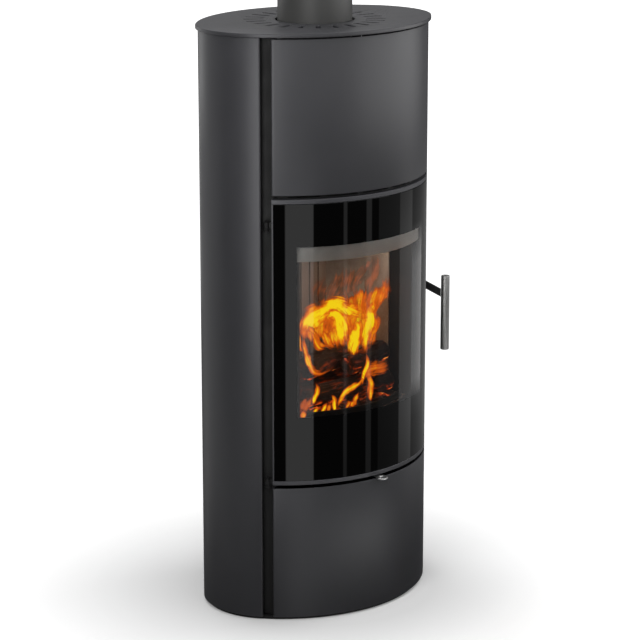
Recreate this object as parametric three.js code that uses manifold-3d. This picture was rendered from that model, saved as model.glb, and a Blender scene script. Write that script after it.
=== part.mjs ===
// A tall oval steel wood stove with a curved glass door, as separate pieces.
// Millimetres, +Z up. The origin is on the floor under the middle of the oval, and the door faces -Y.
import * as THREE from 'three';
import { mergeVertices } from 'three/addons/utils/BufferGeometryUtils.js';
import Module from 'manifold-3d';

const wasm = await Module();
wasm.setup();

// Overall sizes
const bodyWidth = 520;
const bodyDepth = 390;
const bodyHeight = 1195;
const fluePipeDiameter = 150;
const pipeAbovePlate = 150;
const arcJointAngle = 49.25;

// Clearances
const touchGap = 0.3;
const turnGap = 0.35;

// Sheets and plates
const topPlateThickness = 8;
const topPlateBevel = 1.5;
const topOverhangSide = 4;
const topOverhangFront = 8;
const panelSheet = 2.5;
const panelReturn = 8;
const postSheet = 3;
const postDepth = 19;
const basePlateInset = 8;
const plinthHeight = 7;
const shellSheet = 3.5;
const castThickness = 12;

// The front from the floor up
const lowerPanelTop = 280;
const lowerSeam = 7;
const doorHeight = 582.6;
const upperSeam = 8.2;
const topShadowGap = 3.5;

// Widths of the front and rear as angles about their arcs' centres
const doorHalfAngle = 44;
const sidePanelAngle = 48.1;
const rearPanelAngle = 46.5;
const rearFlangeAngle = 2.5;
const pivotAngle = 46.2;
const postStartAngle = 42.5;
const postLegReach = 8;
const postEndAngle = 49.2;

// Door
const glassThickness = 4;
const doorStripHeight = 8.6;
const doorFrameDepth = 10;
const retainerAngle = 0.55;
const windowHalfAngle = 36;
const windowRise = 125;
const windowDrop = 79.6;
const deflectorDrop = 47;
const deflectorSheet = 1.5;
const tapeThickness = 0.9;
const sealWidth = 9;
const sealOverWindow = 45;
const sealAngle = 40;

// Firebox
const chamberSideMargin = 0.55;
const chamberFrontSetback = 136;
const chamberRearSetback = 120;
const chamberCornerWidth = 55;
const chamberCornerDepth = 60;
const brickThickness = 25;
const fireboxRise = 37;
const fireboxTopGap = 67;
const firebedRise = 68;
const firebedThickness = 20;
const firebedDepth = 34;
const ledgeSheet = 5;
const frontPlateDepth = 20;
const frontPlateSheet = 4;
const loadingHalfAngle = 33;
const jambSheet = 4;
const loadingLip = 8;
const loadingOverWindow = 10;
const grooveCount = 7;
const grooveWidth = 8;
const grooveDepth = 4;
const baffleThickness = 25;
const throatDepth = 45;
const guardAngle = 32;
const guardDepth = 40;
const guardHeight = 14;
const grateLength = 196;
const grateFrontMargin = -4;
const grateRearMargin = 32;
const grateSlots = 9;
const panHalfWidth = 105;
const panFrontSetback = 70;
const panRearMargin = 20;
const panHeight = 46;
const panSheet = 1.5;
const standTube = 25;
const standFrontSetback = 120;
const standFrontHalf = 165;
const standRearSetback = 135;
const standRearHalf = 120;

// Air supply and its lever
const spigotRadius = 50;
const spigotWall = 3;
const spigotAboveBox = 12;
const spigotStandOut = 20;
const airBoxHalfWidth = 80;
const airBoxFrontSetback = 105;
const airBoxRearSetback = 65;
const airBoxDepth = 124;
const airBoxWall = 3;
const leverThickness = 3;
const leverWidth = 25;
const leverHole = 11;
const leverReach = 23;
const leverX = 2;
const airTravel = 45;
const portHalfWidth = 40;
const portLength = 50;

// Pivots, latch and handle
const hingePinRadius = 3.5;
const hingeAxisDepth = 6;
const hingeBossRadius = 6;
const latchRodRadius = 4.5;
const latchBossWall = 2.9;
const latchInset = 48;
const latchTopInset = 33.6;
const guideThickness = 8;
const fingerLength = 22;
const fingerWidth = 7;
const fingerThickness = 6;
const handleOut = 50.5;
const handleDirection = -44.8;
const handleRadius = 9;
const handleRise = 209;
const handleLength = 158;
const armRootRise = 352;
const armTipRise = 325;
const armHeight = 16;
const armThickness = 8;

// Top plate slots and flue
const slotCount = 24;
const slotFromPipe = 27;
const slotLength = 41;
const slotWidth = 10;
const fluePlateGap = 5;
const pipeWall = 2;
const collarWall = 3;
const collarOverPlate = 5;
const collarFlange = 20;

// Facets
const arcStep = 4;
const roundSteps = 24;
const pinSteps = 16;

const rad = THREE.MathUtils.degToRad;

// The four arcs of the oval: front and rear share one radius, the two sides another
const halfWidth = bodyWidth / 2;
const halfDepth = bodyDepth / 2;
const [jointSin, jointCos] = [Math.sin(rad(arcJointAngle)), Math.cos(rad(arcJointAngle))];
const arcDifference = (halfWidth - halfDepth) / (jointSin + jointCos - 1);
const sideRadius = halfWidth - arcDifference * jointSin;
const frontRadius = sideRadius + arcDifference;
const sideArcX = halfWidth - sideRadius;
const frontCentreY = frontRadius - halfDepth;

// Heights that follow from one another
const topPlateBottom = bodyHeight - topPlateThickness;
const doorBottom = lowerPanelTop + lowerSeam;
const doorTop = doorBottom + doorHeight;
const upperPanelBottom = doorTop + upperSeam;
const windowBottom = doorBottom + windowRise;
const windowTop = doorTop - windowDrop;
const leverBottom = doorBottom - 2 - leverThickness;
const fireboxBottom = doorBottom + fireboxRise;
const fireboxTop = topPlateBottom - fireboxTopGap;
const firebedHeight = fireboxBottom + firebedRise;
const bedTop = firebedHeight + firebedThickness;
const loadingBottom = fireboxBottom + loadingLip;
const loadingTop = windowTop + loadingOverWindow;
const brickTop = loadingTop;
const upperBaffleBottom = (brickTop + fireboxTop) / 2 - 30;
const airBoxBottom = fireboxBottom - airBoxDepth;
const spigotHeight = airBoxBottom + spigotRadius + spigotAboveBox;

// Depths and widths that follow from one another
const frontPlateInner = frontPlateDepth + frontPlateSheet;
const chamberHalfWidth = (frontRadius - frontPlateInner) * Math.sin(rad(loadingHalfAngle))
  + chamberSideMargin;
const chamberRearHalf = chamberHalfWidth - chamberCornerWidth;
const chamberFrontY = chamberFrontSetback - halfDepth;
const chamberRearY = halfDepth - chamberRearSetback;
const chamberSideEndY = chamberRearY - chamberCornerDepth;
const shellGrow = brickThickness + 2 * touchGap;
const airBoxFrontY = airBoxFrontSetback - halfDepth;
const airBoxRearY = halfDepth - airBoxRearSetback;
const portFrontY = airBoxFrontY + portLength;
const portRearY = portFrontY + portLength;
const latchBossRadius = latchRodRadius + latchBossWall;
const latchAxisDepth = postDepth - latchBossRadius - 1.2;
const latchBottom = doorBottom + latchInset;
const latchTop = doorTop - latchTopInset;

const materials = {
  paint: new THREE.MeshStandardMaterial({ color: 0x434247, roughness: 0.5, metalness: 0.4 }),
  innerSteel: new THREE.MeshStandardMaterial({ color: 0x1a1a1b, roughness: 0.7, metalness: 0.5 }),
  castIron: new THREE.MeshStandardMaterial({ color: 0x2b2a29, roughness: 0.8, metalness: 0.6 }),
  stainless: new THREE.MeshStandardMaterial({ color: 0x9a9a9a, roughness: 0.28, metalness: 1 }),
  zinc: new THREE.MeshStandardMaterial({ color: 0x8d8f92, roughness: 0.4, metalness: 0.9 }),
  glass: new THREE.MeshStandardMaterial({ color: 0x0a0a0a, roughness: 0.05, metalness: 0 }),
  rope: new THREE.MeshStandardMaterial({ color: 0x2e2c2a, roughness: 0.95, metalness: 0 }),
  brick: new THREE.MeshStandardMaterial({ color: 0x75685f, roughness: 0.95, metalness: 0 }),
  darkBrick: new THREE.MeshStandardMaterial({ color: 0x4a3a33, roughness: 0.95, metalness: 0 }),
  bark: new THREE.MeshStandardMaterial({ color: 0x2a1812, roughness: 0.95, metalness: 0 }),
  pipe: new THREE.MeshStandardMaterial({ color: 0x333331, roughness: 0.6, metalness: 0.4 }),
};

const stove = new THREE.Group();

function solid(geometry) {
  const bare = geometry.index ? geometry.toNonIndexed() : geometry.clone();
  bare.deleteAttribute('normal');
  bare.deleteAttribute('uv');
  const merged = mergeVertices(bare, 1e-4);
  return new wasm.Manifold(new wasm.Mesh({
    numProp: 3,
    vertProperties: new Float32Array(merged.attributes.position.array),
    triVerts: new Uint32Array(merged.index.array),
  }));
}

function geometryOf(body) {
  const mesh = body.getMesh();
  const geometry = new THREE.BufferGeometry();
  geometry.setAttribute('position', new THREE.BufferAttribute(mesh.vertProperties, 3));
  geometry.setIndex(new THREE.BufferAttribute(mesh.triVerts, 1));
  geometry.computeVertexNormals();
  return geometry;
}

function cut(body, ...tools) {
  return tools.reduce((left, tool) => left.subtract(tool), body);
}

function join(body, ...others) {
  return others.reduce((sum, other) => sum.add(other), body);
}

function piece(name, body, material) {
  const mesh = new THREE.Mesh(geometryOf(body), material);
  mesh.name = name;
  stove.add(mesh);
}

function prism(shape, bottom, top) {
  const geometry = new THREE.ExtrudeGeometry(shape, {
    depth: top - bottom, bevelEnabled: false, curveSegments: roundSteps,
  });
  return solid(geometry.translate(0, 0, bottom));
}

function outline(points) {
  return new THREE.Shape(points.map(([x, y]) => new THREE.Vector2(x, y)));
}

function box(x0, x1, y0, y1, z0, z1) {
  const geometry = new THREE.BoxGeometry(x1 - x0, y1 - y0, z1 - z0);
  return solid(geometry.translate((x0 + x1) / 2, (y0 + y1) / 2, (z0 + z1) / 2));
}

function rod(radius, x, y, bottom, top, steps = pinSteps) {
  const geometry = new THREE.CylinderGeometry(radius, radius, top - bottom, steps);
  return solid(geometry.rotateX(Math.PI / 2).translate(x, y, (bottom + top) / 2));
}

function ring(inner, outer, bottom, top, steps = roundSteps) {
  return cut(rod(outer, 0, 0, bottom, top, steps), rod(inner, 0, 0, bottom - 1, top + 1, steps));
}

// A point at an angle from straight ahead, on a circle about the front arc's centre
function frontPoint(degrees, radius) {
  const x = radius * Math.sin(rad(degrees));
  return [x, frontCentreY - radius * Math.cos(rad(degrees))];
}

function steps(from, to) {
  const count = Math.max(1, Math.ceil(Math.abs(to - from) / arcStep));
  return Array.from({ length: count + 1 }, (_, i) => from + (to - from) * i / count);
}

// A curved plate standing on the front arc between two angles and two depths below the surface
function frontBand(from, to, outerDepth, innerDepth, bottom, top) {
  const outer = steps(from, to).map((a) => frontPoint(a, frontRadius - outerDepth));
  const inner = steps(to, from).map((a) => frontPoint(a, frontRadius - innerDepth));
  return prism(outline([...outer, ...inner]), bottom, top);
}

function mirrored(points, flipX, flipY) {
  return points.map(([x, y]) => [flipX ? -x : x, flipY ? -y : y]);
}

// The oval's outline moved inward by inset, from one front angle round the right side
function rightSide(frontAngle, rearAngle, inset) {
  const joint = arcJointAngle;
  const front = steps(frontAngle, joint).map((a) => frontPoint(a, frontRadius - inset));
  const side = steps(joint, 180 - joint).slice(1, -1).map((a) => {
    const r = sideRadius - inset;
    return [sideArcX + r * Math.sin(rad(a)), -r * Math.cos(rad(a))];
  });
  const rear = mirrored(steps(rearAngle, joint).map((a) => frontPoint(a, frontRadius - inset)), false, true);
  return [...front, ...side, ...rear.reverse()];
}

function oval(widthInset, depthInset) {
  const right = rightSide(0, 0, 0);
  const left = mirrored(right, true, false).reverse().slice(1, -1);
  const scaleX = (halfWidth - widthInset) / halfWidth;
  const scaleY = (halfDepth - depthInset) / halfDepth;
  return outline([...right, ...left].map(([x, y]) => [x * scaleX, y * scaleY]));
}

// The inside of the firebox's lining, moved outward by grow, from frontY back
function chamber(grow, frontY) {
  const run = [chamberHalfWidth - chamberRearHalf, chamberRearY - chamberSideEndY];
  const length = Math.hypot(...run);
  const [nx, ny] = [run[1] / length, run[0] / length];
  const side = [chamberHalfWidth + grow, chamberSideEndY + grow * (1 - nx) / ny];
  const rear = [chamberRearHalf + grow * (1 - ny) / nx, chamberRearY + grow];
  const right = [[chamberHalfWidth + grow, frontY], side, rear];
  return outline([...right, ...mirrored(right, true, false).reverse()]);
}

// The angle that a sheet's thickness or a small gap takes on the front arc
function sheetAngle(thickness) {
  return THREE.MathUtils.radToDeg(thickness / frontRadius);
}

const bothSides = [['left', -1], ['right', 1]];

// A body built for the right side, or its mirror image for the left
function onSide(body, sign) {
  return sign > 0 ? body : body.mirror([1, 0, 0]);
}

function makeCasing() {
  piece('base_plate', prism(oval(basePlateInset, basePlateInset), 0, plinthHeight - touchGap),
    materials.innerSteel);

  const panelTop = topPlateBottom - touchGap;
  const rearEnd = rearPanelAngle + sheetAngle(touchGap * 2);
  const outer = rightSide(sidePanelAngle, rearEnd, 0);
  const inner = rightSide(sidePanelAngle, rearEnd, panelSheet);
  const fold = frontBand(sidePanelAngle, sidePanelAngle + sheetAngle(panelSheet), 1, panelReturn,
    plinthHeight, panelTop);
  const behind = panelSheet + touchGap;
  const web = frontBand(rearEnd, rearEnd + sheetAngle(panelSheet), 1, behind + panelSheet,
    plinthHeight, panelTop);
  const flange = frontBand(rearEnd - rearFlangeAngle, rearEnd + sheetAngle(1), behind,
    behind + panelSheet, plinthHeight, panelTop);
  const skin = join(prism(outline([...outer, ...inner.reverse()]), plinthHeight, panelTop), fold,
    join(web, flange).mirror([0, 1, 0]));
  for (const [side, sign] of bothSides) {
    piece(`${side}_side_panel`, onSide(skin, sign), materials.paint);
  }

  piece('upper_front_panel', frontPanel(upperPanelBottom, topPlateBottom - topShadowGap),
    materials.paint);
  piece('lower_front_panel', frontPanel(plinthHeight, lowerPanelTop), materials.paint);
  piece('rear_panel', makeRearPanel(panelTop), materials.paint);
}

function frontPanel(bottom, top) {
  const thickAngle = sheetAngle(panelSheet);
  const skin = frontBand(-doorHalfAngle, doorHalfAngle, 0, panelSheet, bottom, top);
  const folds = [-1, 1].map((s) => frontBand(s * (doorHalfAngle - thickAngle), s * doorHalfAngle,
    1, panelReturn * 1.6, bottom, top));
  return join(skin, ...folds);
}

function makeRearPanel(top) {
  const ventRows = 5;
  const ventLength = 120;
  const ventWidth = 8;
  const ventPitch = 22;
  let panel = frontBand(-rearPanelAngle, rearPanelAngle, 0, panelSheet, plinthHeight, top)
    .mirror([0, 1, 0]);
  const vent = (x, z) => box(x - ventLength / 2, x + ventLength / 2, 0, halfDepth + 5,
    z - ventWidth / 2, z + ventWidth / 2);
  for (let row = 0; row < ventRows; row += 1) {
    for (const x of [-ventLength * 0.6, ventLength * 0.6]) {
      panel = cut(panel, vent(x, top - 50 - row * ventPitch), vent(x, plinthHeight + 40 + row * ventPitch));
    }
  }
  const inlet = rod(spigotRadius + 2, 0, 0, 0, halfDepth + 5, roundSteps)
    .rotate([-90, 0, 0]).translate([0, 0, spigotHeight]);
  return cut(panel, inlet);
}

function makeTopPlate() {
  const shape = oval(topPlateBevel - topOverhangSide, topPlateBevel - topOverhangFront);
  const plate = solid(new THREE.ExtrudeGeometry(shape, {
    depth: topPlateThickness - 2 * topPlateBevel, bevelEnabled: true, bevelSize: topPlateBevel,
    bevelThickness: topPlateBevel, bevelSegments: 2, curveSegments: roundSteps,
  }).translate(0, 0, topPlateBottom + topPlateBevel));
  const slotInner = fluePipeDiameter / 2 + slotFromPipe;
  const slot = box(slotInner, slotInner + slotLength, -slotWidth / 2, slotWidth / 2,
    topPlateBottom - 1, bodyHeight + 1);
  const slots = Array.from({ length: slotCount }, (_, i) => slot.rotate([0, 0, (i + 0.5) * 360 / slotCount]));
  const hole = rod(fluePipeDiameter / 2 + fluePlateGap, 0, 0, topPlateBottom - 1, bodyHeight + 1,
    roundSteps * 2);
  piece('top_plate', cut(plate, hole, ...slots), materials.paint);
}

function makeChannels() {
  const top = topPlateBottom - topShadowGap;
  const depth = postDepth + postSheet;
  const floor = frontBand(postStartAngle, postEndAngle, postDepth, depth, plinthHeight, top);
  const leg = frontBand(postStartAngle, postStartAngle + sheetAngle(postSheet), depth - 1,
    depth + postLegReach, plinthHeight, top);
  const wallAngle = sidePanelAngle + sheetAngle(panelSheet + touchGap * 2);
  const wall = frontBand(wallAngle, postEndAngle, panelSheet + touchGap, postDepth + 1, plinthHeight, top);
  const shellSpace = prism(chamber(shellGrow + shellSheet + 1, -halfDepth), 0, bodyHeight);
  const post = cut(join(floor, leg, wall), shellSpace);
  piece('left_post', onSide(post, -1), materials.innerSteel);

  const [axisX, axisY] = latchAxis();
  const notches = fingerHeights().map((z) => box(axisX - fingerWidth / 2 - 2, axisX + 30,
    axisY + 1, axisY + 40, z - fingerThickness, z + fingerThickness));
  piece('right_post', cut(post, ...notches), materials.innerSteel);

  const stripBottom = doorTop + 1;
  const stripTop = upperPanelBottom + 8;
  const slotHalf = 6.5;
  const pitch = 15.6;
  let strip = frontBand(-postStartAngle + 0.6, postStartAngle - 0.6, 9.5, 11.5, stripBottom, stripTop);
  for (let i = -2; i <= 2; i += 1) {
    strip = cut(strip, frontBand(i * pitch - slotHalf, i * pitch + slotHalf, 5, 15,
      stripBottom + 1.6, upperPanelBottom - 1));
  }
  piece('air_slot_strip', strip, materials.paint);
}

function latchAxis() {
  return frontPoint(pivotAngle, frontRadius - latchAxisDepth);
}

function hingeAxis() {
  return frontPoint(-pivotAngle, frontRadius - hingeAxisDepth);
}

function fingerHeights() {
  return [latchBottom + 14, latchTop - 14];
}

function makeFirebox() {
  const reach = frontRadius - frontPlateInner - touchGap;
  const round = rod(reach, 0, frontCentreY, fireboxBottom, fireboxTop, roundSteps * 4);
  const shellOutside = prism(chamber(shellGrow + shellSheet, -halfDepth), fireboxBottom, fireboxTop);
  const shellInside = prism(chamber(shellGrow, -halfDepth - 10), fireboxBottom + shellSheet,
    fireboxTop - shellSheet);
  const flueHole = rod(fluePipeDiameter / 2 - pipeWall - collarWall - touchGap, 0, 0,
    fireboxTop - 10, fireboxTop + 10, roundSteps);
  const airPort = box(-portHalfWidth, portHalfWidth, portFrontY, portRearY,
    fireboxBottom - 10, fireboxBottom + 10);
  piece('firebox_shell', cut(shellOutside.intersect(round), shellInside, flueHole, airPort),
    materials.innerSteel);

  const plateAngle = postStartAngle - sheetAngle(touchGap * 2);
  const plate = frontBand(-plateAngle, plateAngle, frontPlateDepth, frontPlateInner,
    fireboxBottom, fireboxTop);
  const jambX = chamberHalfWidth + 0.5;
  const jambFront = frontCentreY - Math.sqrt((frontRadius - frontPlateInner) ** 2 - jambX ** 2) - 1;
  const jambs = bothSides.map(([, sign]) => onSide(box(jambX, jambX + jambSheet, jambFront,
    chamberFrontY - 2, fireboxBottom + shellSheet + touchGap, loadingTop), sign));
  const opening = frontBand(-loadingHalfAngle, loadingHalfAngle, 10, 40, loadingBottom, loadingTop);
  piece('firebox_front', join(cut(plate, opening), ...jambs), materials.innerSteel);
}

function makeLining() {
  const wall = (frontY) => cut(prism(chamber(brickThickness, frontY), bedTop + touchGap, brickTop),
    prism(chamber(0, frontY - 1), bedTop, brickTop + 1));
  const lining = wall(chamberFrontY);
  const far = 400;
  for (const [side, sign] of bothSides) {
    const cheek = lining.intersect(box(0, far, -far, chamberSideEndY - touchGap, 0, brickTop));
    piece(`${side}_side_brick`, onSide(cheek, sign), materials.brick);
    const corner = lining.intersect(box(chamberRearHalf + touchGap, far, chamberSideEndY, far, 0, brickTop));
    piece(`${side}_corner_brick`, onSide(corner, sign), materials.darkBrick);
  }
  let rear = lining.intersect(box(-chamberRearHalf, chamberRearHalf, chamberSideEndY, far, 0, brickTop));
  const pitch = 2 * chamberRearHalf / (grooveCount + 1);
  for (let i = 1; i <= grooveCount; i += 1) {
    const x = -chamberRearHalf + i * pitch;
    rear = cut(rear, box(x - grooveWidth / 2, x + grooveWidth / 2, chamberRearY - 5,
      chamberRearY + grooveDepth, bedTop - 1, brickTop - 40));
  }
  piece('rear_brick', rear, materials.darkBrick);

  const bed = firebed(firebedHeight, bedTop);
  const grateFrontY = chamberFrontY + grateFrontMargin;
  const grateRearY = chamberRearY - grateRearMargin;
  const grateHole = box(-grateLength / 2 - 2, grateLength / 2 + 2, grateFrontY - 2, grateRearY + 2,
    0, bodyHeight);
  piece('floor_brick', cut(bed, grateHole), materials.brick);
  const ledge = firebed(firebedHeight - ledgeSheet - touchGap, firebedHeight - touchGap);
  const ledgeHole = box(-grateLength / 2 + 6, grateLength / 2 - 6, grateFrontY + 6, grateRearY - 6,
    0, bodyHeight);
  piece('grate_ledge', cut(ledge, ledgeHole), materials.innerSteel);

  let grate = box(-grateLength / 2, grateLength / 2, grateFrontY, grateRearY,
    firebedHeight, firebedHeight + castThickness);
  for (let i = 0; i < grateSlots; i += 1) {
    const x = (i - (grateSlots - 1) / 2) * grateLength / (grateSlots + 1);
    grate = cut(grate, box(x - 4, x + 4, grateFrontY + 12, grateRearY - 12, 0, bodyHeight));
  }
  piece('grate', grate, materials.castIron);

  const clearOfFront = rod(frontRadius - 50, 0, frontCentreY, 0, bodyHeight, roundSteps * 3);
  const baffle = prism(chamber(brickThickness, chamberFrontY - 15), brickTop + touchGap,
    brickTop + touchGap + baffleThickness);
  piece('lower_baffle', baffle.intersect(clearOfFront), materials.brick);
  const upper = prism(chamber(brickThickness, -halfDepth), upperBaffleBottom, upperBaffleBottom + 4);
  const rearThroat = box(-halfWidth, halfWidth, chamberRearY - throatDepth, halfDepth, 0, bodyHeight);
  piece('upper_baffle', cut(upper.intersect(clearOfFront), rearThroat), materials.innerSteel);

  piece('log_guard', frontBand(-guardAngle, guardAngle, guardDepth, guardDepth + 5,
    bedTop + touchGap, bedTop + guardHeight), materials.castIron);
}

// A plate across the chamber that reaches forward between the jambs
function firebed(bottom, top) {
  const half = chamberHalfWidth - touchGap;
  const round = rod(frontRadius - firebedDepth, 0, frontCentreY, bottom, top, roundSteps * 3);
  return join(prism(chamber(brickThickness, chamberFrontY), bottom, top),
    box(-half, half, -halfDepth, chamberFrontY + 1, bottom, top).intersect(round));
}

function makeAshPan() {
  const bottom = fireboxBottom + shellSheet + touchGap;
  const panFrontY = panFrontSetback - halfDepth;
  const panRearY = chamberRearY - panRearMargin;
  const tray = cut(box(-panHalfWidth, panHalfWidth, panFrontY, panRearY, bottom, bottom + panHeight),
    box(-panHalfWidth + panSheet, panHalfWidth - panSheet, panFrontY + panSheet, panRearY - panSheet,
      bottom + panSheet, bottom + panHeight + 1));
  const grip = box(-30, 30, panFrontY - 10, panFrontY + 1, bottom + panHeight - 6, bottom + panHeight - 3);
  piece('ash_pan', join(tray, grip), materials.zinc);
}

function makeFlue() {
  const pipeRadius = fluePipeDiameter / 2;
  const collarOuter = pipeRadius - pipeWall - touchGap;
  const collarInner = collarOuter - collarWall;
  const flangeTop = fireboxTop + 4;
  const collar = join(ring(collarInner, collarOuter, fireboxTop + touchGap, bodyHeight + collarOverPlate),
    ring(collarInner, collarOuter + collarFlange, fireboxTop + touchGap, flangeTop));
  piece('flue_collar', collar, materials.innerSteel);
  piece('flue_pipe', ring(pipeRadius - pipeWall, pipeRadius, flangeTop + touchGap,
    bodyHeight + pipeAbovePlate, roundSteps * 2), materials.pipe);
}

// Two steel frames that carry the firebox on the base plate
function makeStands() {
  const top = fireboxBottom - touchGap;
  const stands = {
    front: { y: standFrontSetback - halfDepth, half: standFrontHalf },
    rear: { y: halfDepth - standRearSetback, half: standRearHalf },
  };
  for (const [name, { y, half }] of Object.entries(stands)) {
    const leg = box(half - standTube, half, y, y + standTube, plinthHeight, top);
    const foot = box(half - standTube - 20, half, y, y + standTube, plinthHeight, plinthHeight + 4);
    const bar = box(-half, half, y, y + standTube, plinthHeight + 4, plinthHeight + 4 + standTube);
    piece(`${name}_stand`, join(leg, foot, onSide(leg, -1), onSide(foot, -1), bar), materials.innerSteel);
  }
}

function makeAirSupply() {
  const top = fireboxBottom - touchGap;
  const along = (body) => body.rotate([-90, 0, 0]).translate([0, 0, spigotHeight]);
  const inlet = along(rod(spigotRadius - spigotWall, 0, 0, airBoxRearY - 10, airBoxRearY + 10, roundSteps));
  const barSlot = box(leverX - 9, leverX + 9, airBoxFrontY - 5, airBoxFrontY + 5,
    leverBottom - 1, leverBottom + leverThickness + 1);
  const inside = box(-airBoxHalfWidth + airBoxWall, airBoxHalfWidth - airBoxWall,
    airBoxFrontY + airBoxWall, airBoxRearY - airBoxWall, airBoxBottom + airBoxWall, top + 1);
  const airBox = box(-airBoxHalfWidth, airBoxHalfWidth, airBoxFrontY, airBoxRearY, airBoxBottom, top);
  piece('air_box', cut(airBox, inside, inlet, barSlot), materials.innerSteel);

  const spigot = join(
    along(ring(spigotRadius - spigotWall, spigotRadius, airBoxRearY + touchGap, halfDepth + spigotStandOut)),
    along(ring(spigotRadius - spigotWall, spigotRadius + 10, airBoxRearY + touchGap, airBoxRearY + 3)));
  piece('air_inlet_spigot', spigot, materials.innerSteel);

  const innerHalf = airBoxHalfWidth - airBoxWall - touchGap;
  const portPlate = box(-innerHalf, innerHalf, airBoxFrontY + airBoxWall + touchGap,
    airBoxRearY - airBoxWall - touchGap, leverBottom + leverThickness + 1, leverBottom + leverThickness + 4);
  const port = box(-portHalfWidth, portHalfWidth, portFrontY, portRearY, 0, bodyHeight);
  piece('air_port_plate', cut(portPlate, port), materials.innerSteel);

  const damperTop = leverBottom + leverThickness;
  const damper = cut(
    box(-portHalfWidth - 8, portHalfWidth + 8, portFrontY, portRearY + airTravel + 8, leverBottom, damperTop),
    box(-portHalfWidth + 2, portHalfWidth - 2, portRearY + 4, portRearY + airTravel, 0, bodyHeight));
  piece('air_damper', damper, materials.zinc);
  const rootY = -halfDepth + 3;
  piece('air_rod', box(leverX - 7, leverX + 7, rootY + touchGap, portFrontY - touchGap,
    leverBottom, damperTop), materials.zinc);
  const tipY = -halfDepth - leverReach + leverWidth / 2;
  const tab = join(rod(leverWidth / 2, leverX, tipY, leverBottom, damperTop, roundSteps),
    box(leverX - 8, leverX + 8, tipY, rootY, leverBottom, damperTop));
  piece('air_lever', cut(tab, rod(leverHole / 2, leverX, tipY, 0, bodyHeight)),
    materials.stainless);
}

function makeDoor() {
  const stripTop = doorBottom + doorStripHeight;
  const stripBottom = doorTop - doorStripHeight;
  const glassDepth = glassThickness + touchGap;
  const tapeDepth = glassDepth + tapeThickness;
  const faceDepth = tapeDepth + touchGap;
  const frameDepth = faceDepth + doorFrameDepth;
  const bodyAngle = doorHalfAngle;
  const glassAngle = doorHalfAngle - retainerAngle;
  const gapAngle = THREE.MathUtils.radToDeg(touchGap / frontRadius);

  const plate = cut(
    frontBand(-bodyAngle, bodyAngle, faceDepth, frameDepth, doorBottom, doorTop),
    frontBand(-windowHalfAngle, windowHalfAngle, 0, 40, windowBottom, windowTop));
  const strips = [[doorBottom, stripTop], [stripBottom, doorTop]].map(([low, high]) => (
    frontBand(-bodyAngle, bodyAngle, 0, faceDepth + 1, low, high)));
  const [hingeX, hingeY] = hingeAxis();
  const ears = hingeLevels().map(({ earBottom, earTop }) => join(
    rod(hingeBossRadius, hingeX, hingeY, earBottom, earTop),
    frontBand(-pivotAngle + 0.9, -bodyAngle + 1, faceDepth, faceDepth + 4, earBottom, earTop)));
  const bores = hingeLevels().map(({ earBottom, earTop }) => (
    rod(hingePinRadius + touchGap, hingeX, hingeY, earBottom - 1, earTop + 1)));
  piece('door_frame', cut(join(plate, ...strips, ...ears), ...bores), materials.paint);

  piece('door_glass', frontBand(-glassAngle + gapAngle, glassAngle - gapAngle, 0, glassThickness,
    stripTop + touchGap, stripBottom - touchGap), materials.glass);
  const tape = cut(
    frontBand(-glassAngle + 1, glassAngle - 1, glassDepth, tapeDepth, stripTop + 4, stripBottom - 4),
    frontBand(-windowHalfAngle - 2, windowHalfAngle + 2, 0, 40, windowBottom - 12, windowTop + 12));
  piece('glass_tape', tape, materials.rope);
  for (const [side, sign] of bothSides) {
    const retainer = frontBand(glassAngle, bodyAngle, 0, faceDepth - touchGap,
      stripTop + touchGap, stripBottom - touchGap);
    piece(`${side}_glass_retainer`, onSide(retainer, sign), materials.zinc);
  }

  const sealFace = frameDepth + touchGap;
  const sealInset = THREE.MathUtils.radToDeg(sealWidth / frontRadius);
  const sealBack = frontPlateDepth - touchGap;
  const sealTop = windowTop + sealOverWindow;
  const sealBottom = fireboxBottom + touchGap;
  const seal = cut(
    frontBand(-sealAngle, sealAngle, sealFace, sealBack, sealBottom, sealTop),
    frontBand(-sealAngle + sealInset, sealAngle - sealInset, 0, 40, sealBottom + sealWidth,
      sealTop - sealWidth));
  piece('door_seal', seal, materials.rope);

  const deflectorDepth = faceDepth + 5;
  piece('air_wash_deflector', frontBand(-windowHalfAngle + 0.3, windowHalfAngle - 0.3, deflectorDepth,
    deflectorDepth + deflectorSheet, windowTop - deflectorDrop, windowTop - touchGap), materials.zinc);
}

// The hinges: a bracket on the left post, a pin fixed in it and an ear of the door round the pin
function hingeLevels() {
  return [
    { name: 'lower', earBottom: doorBottom, earTop: doorBottom + 12, plateBottom: doorBottom - 5 },
    { name: 'upper', earBottom: doorTop - 57.6, earTop: doorTop - 45.6, plateBottom: doorTop - 62.6 },
  ];
}

function makeHinges() {
  const [x, y] = hingeAxis();
  for (const { name, earTop, plateBottom } of hingeLevels()) {
    const plateTop = plateBottom + 4.4;
    const bracket = join(rod(hingeBossRadius, x, y, plateBottom, plateTop),
      frontBand(-pivotAngle - 0.9, -pivotAngle + 0.9, hingeAxisDepth, postDepth - touchGap,
        plateBottom, plateTop));
    const hole = rod(hingePinRadius + touchGap, x, y, plateBottom - 1, plateTop + 1);
    piece(`${name}_hinge_bracket`, cut(bracket, hole), materials.innerSteel);
    const washerTop = plateBottom - touchGap;
    piece(`${name}_hinge_pin`, join(rod(hingePinRadius, x, y, washerTop - 1, earTop + 2),
      rod(hingePinRadius + 1.5, x, y, washerTop - 2, washerTop)), materials.zinc);
  }
}

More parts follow.
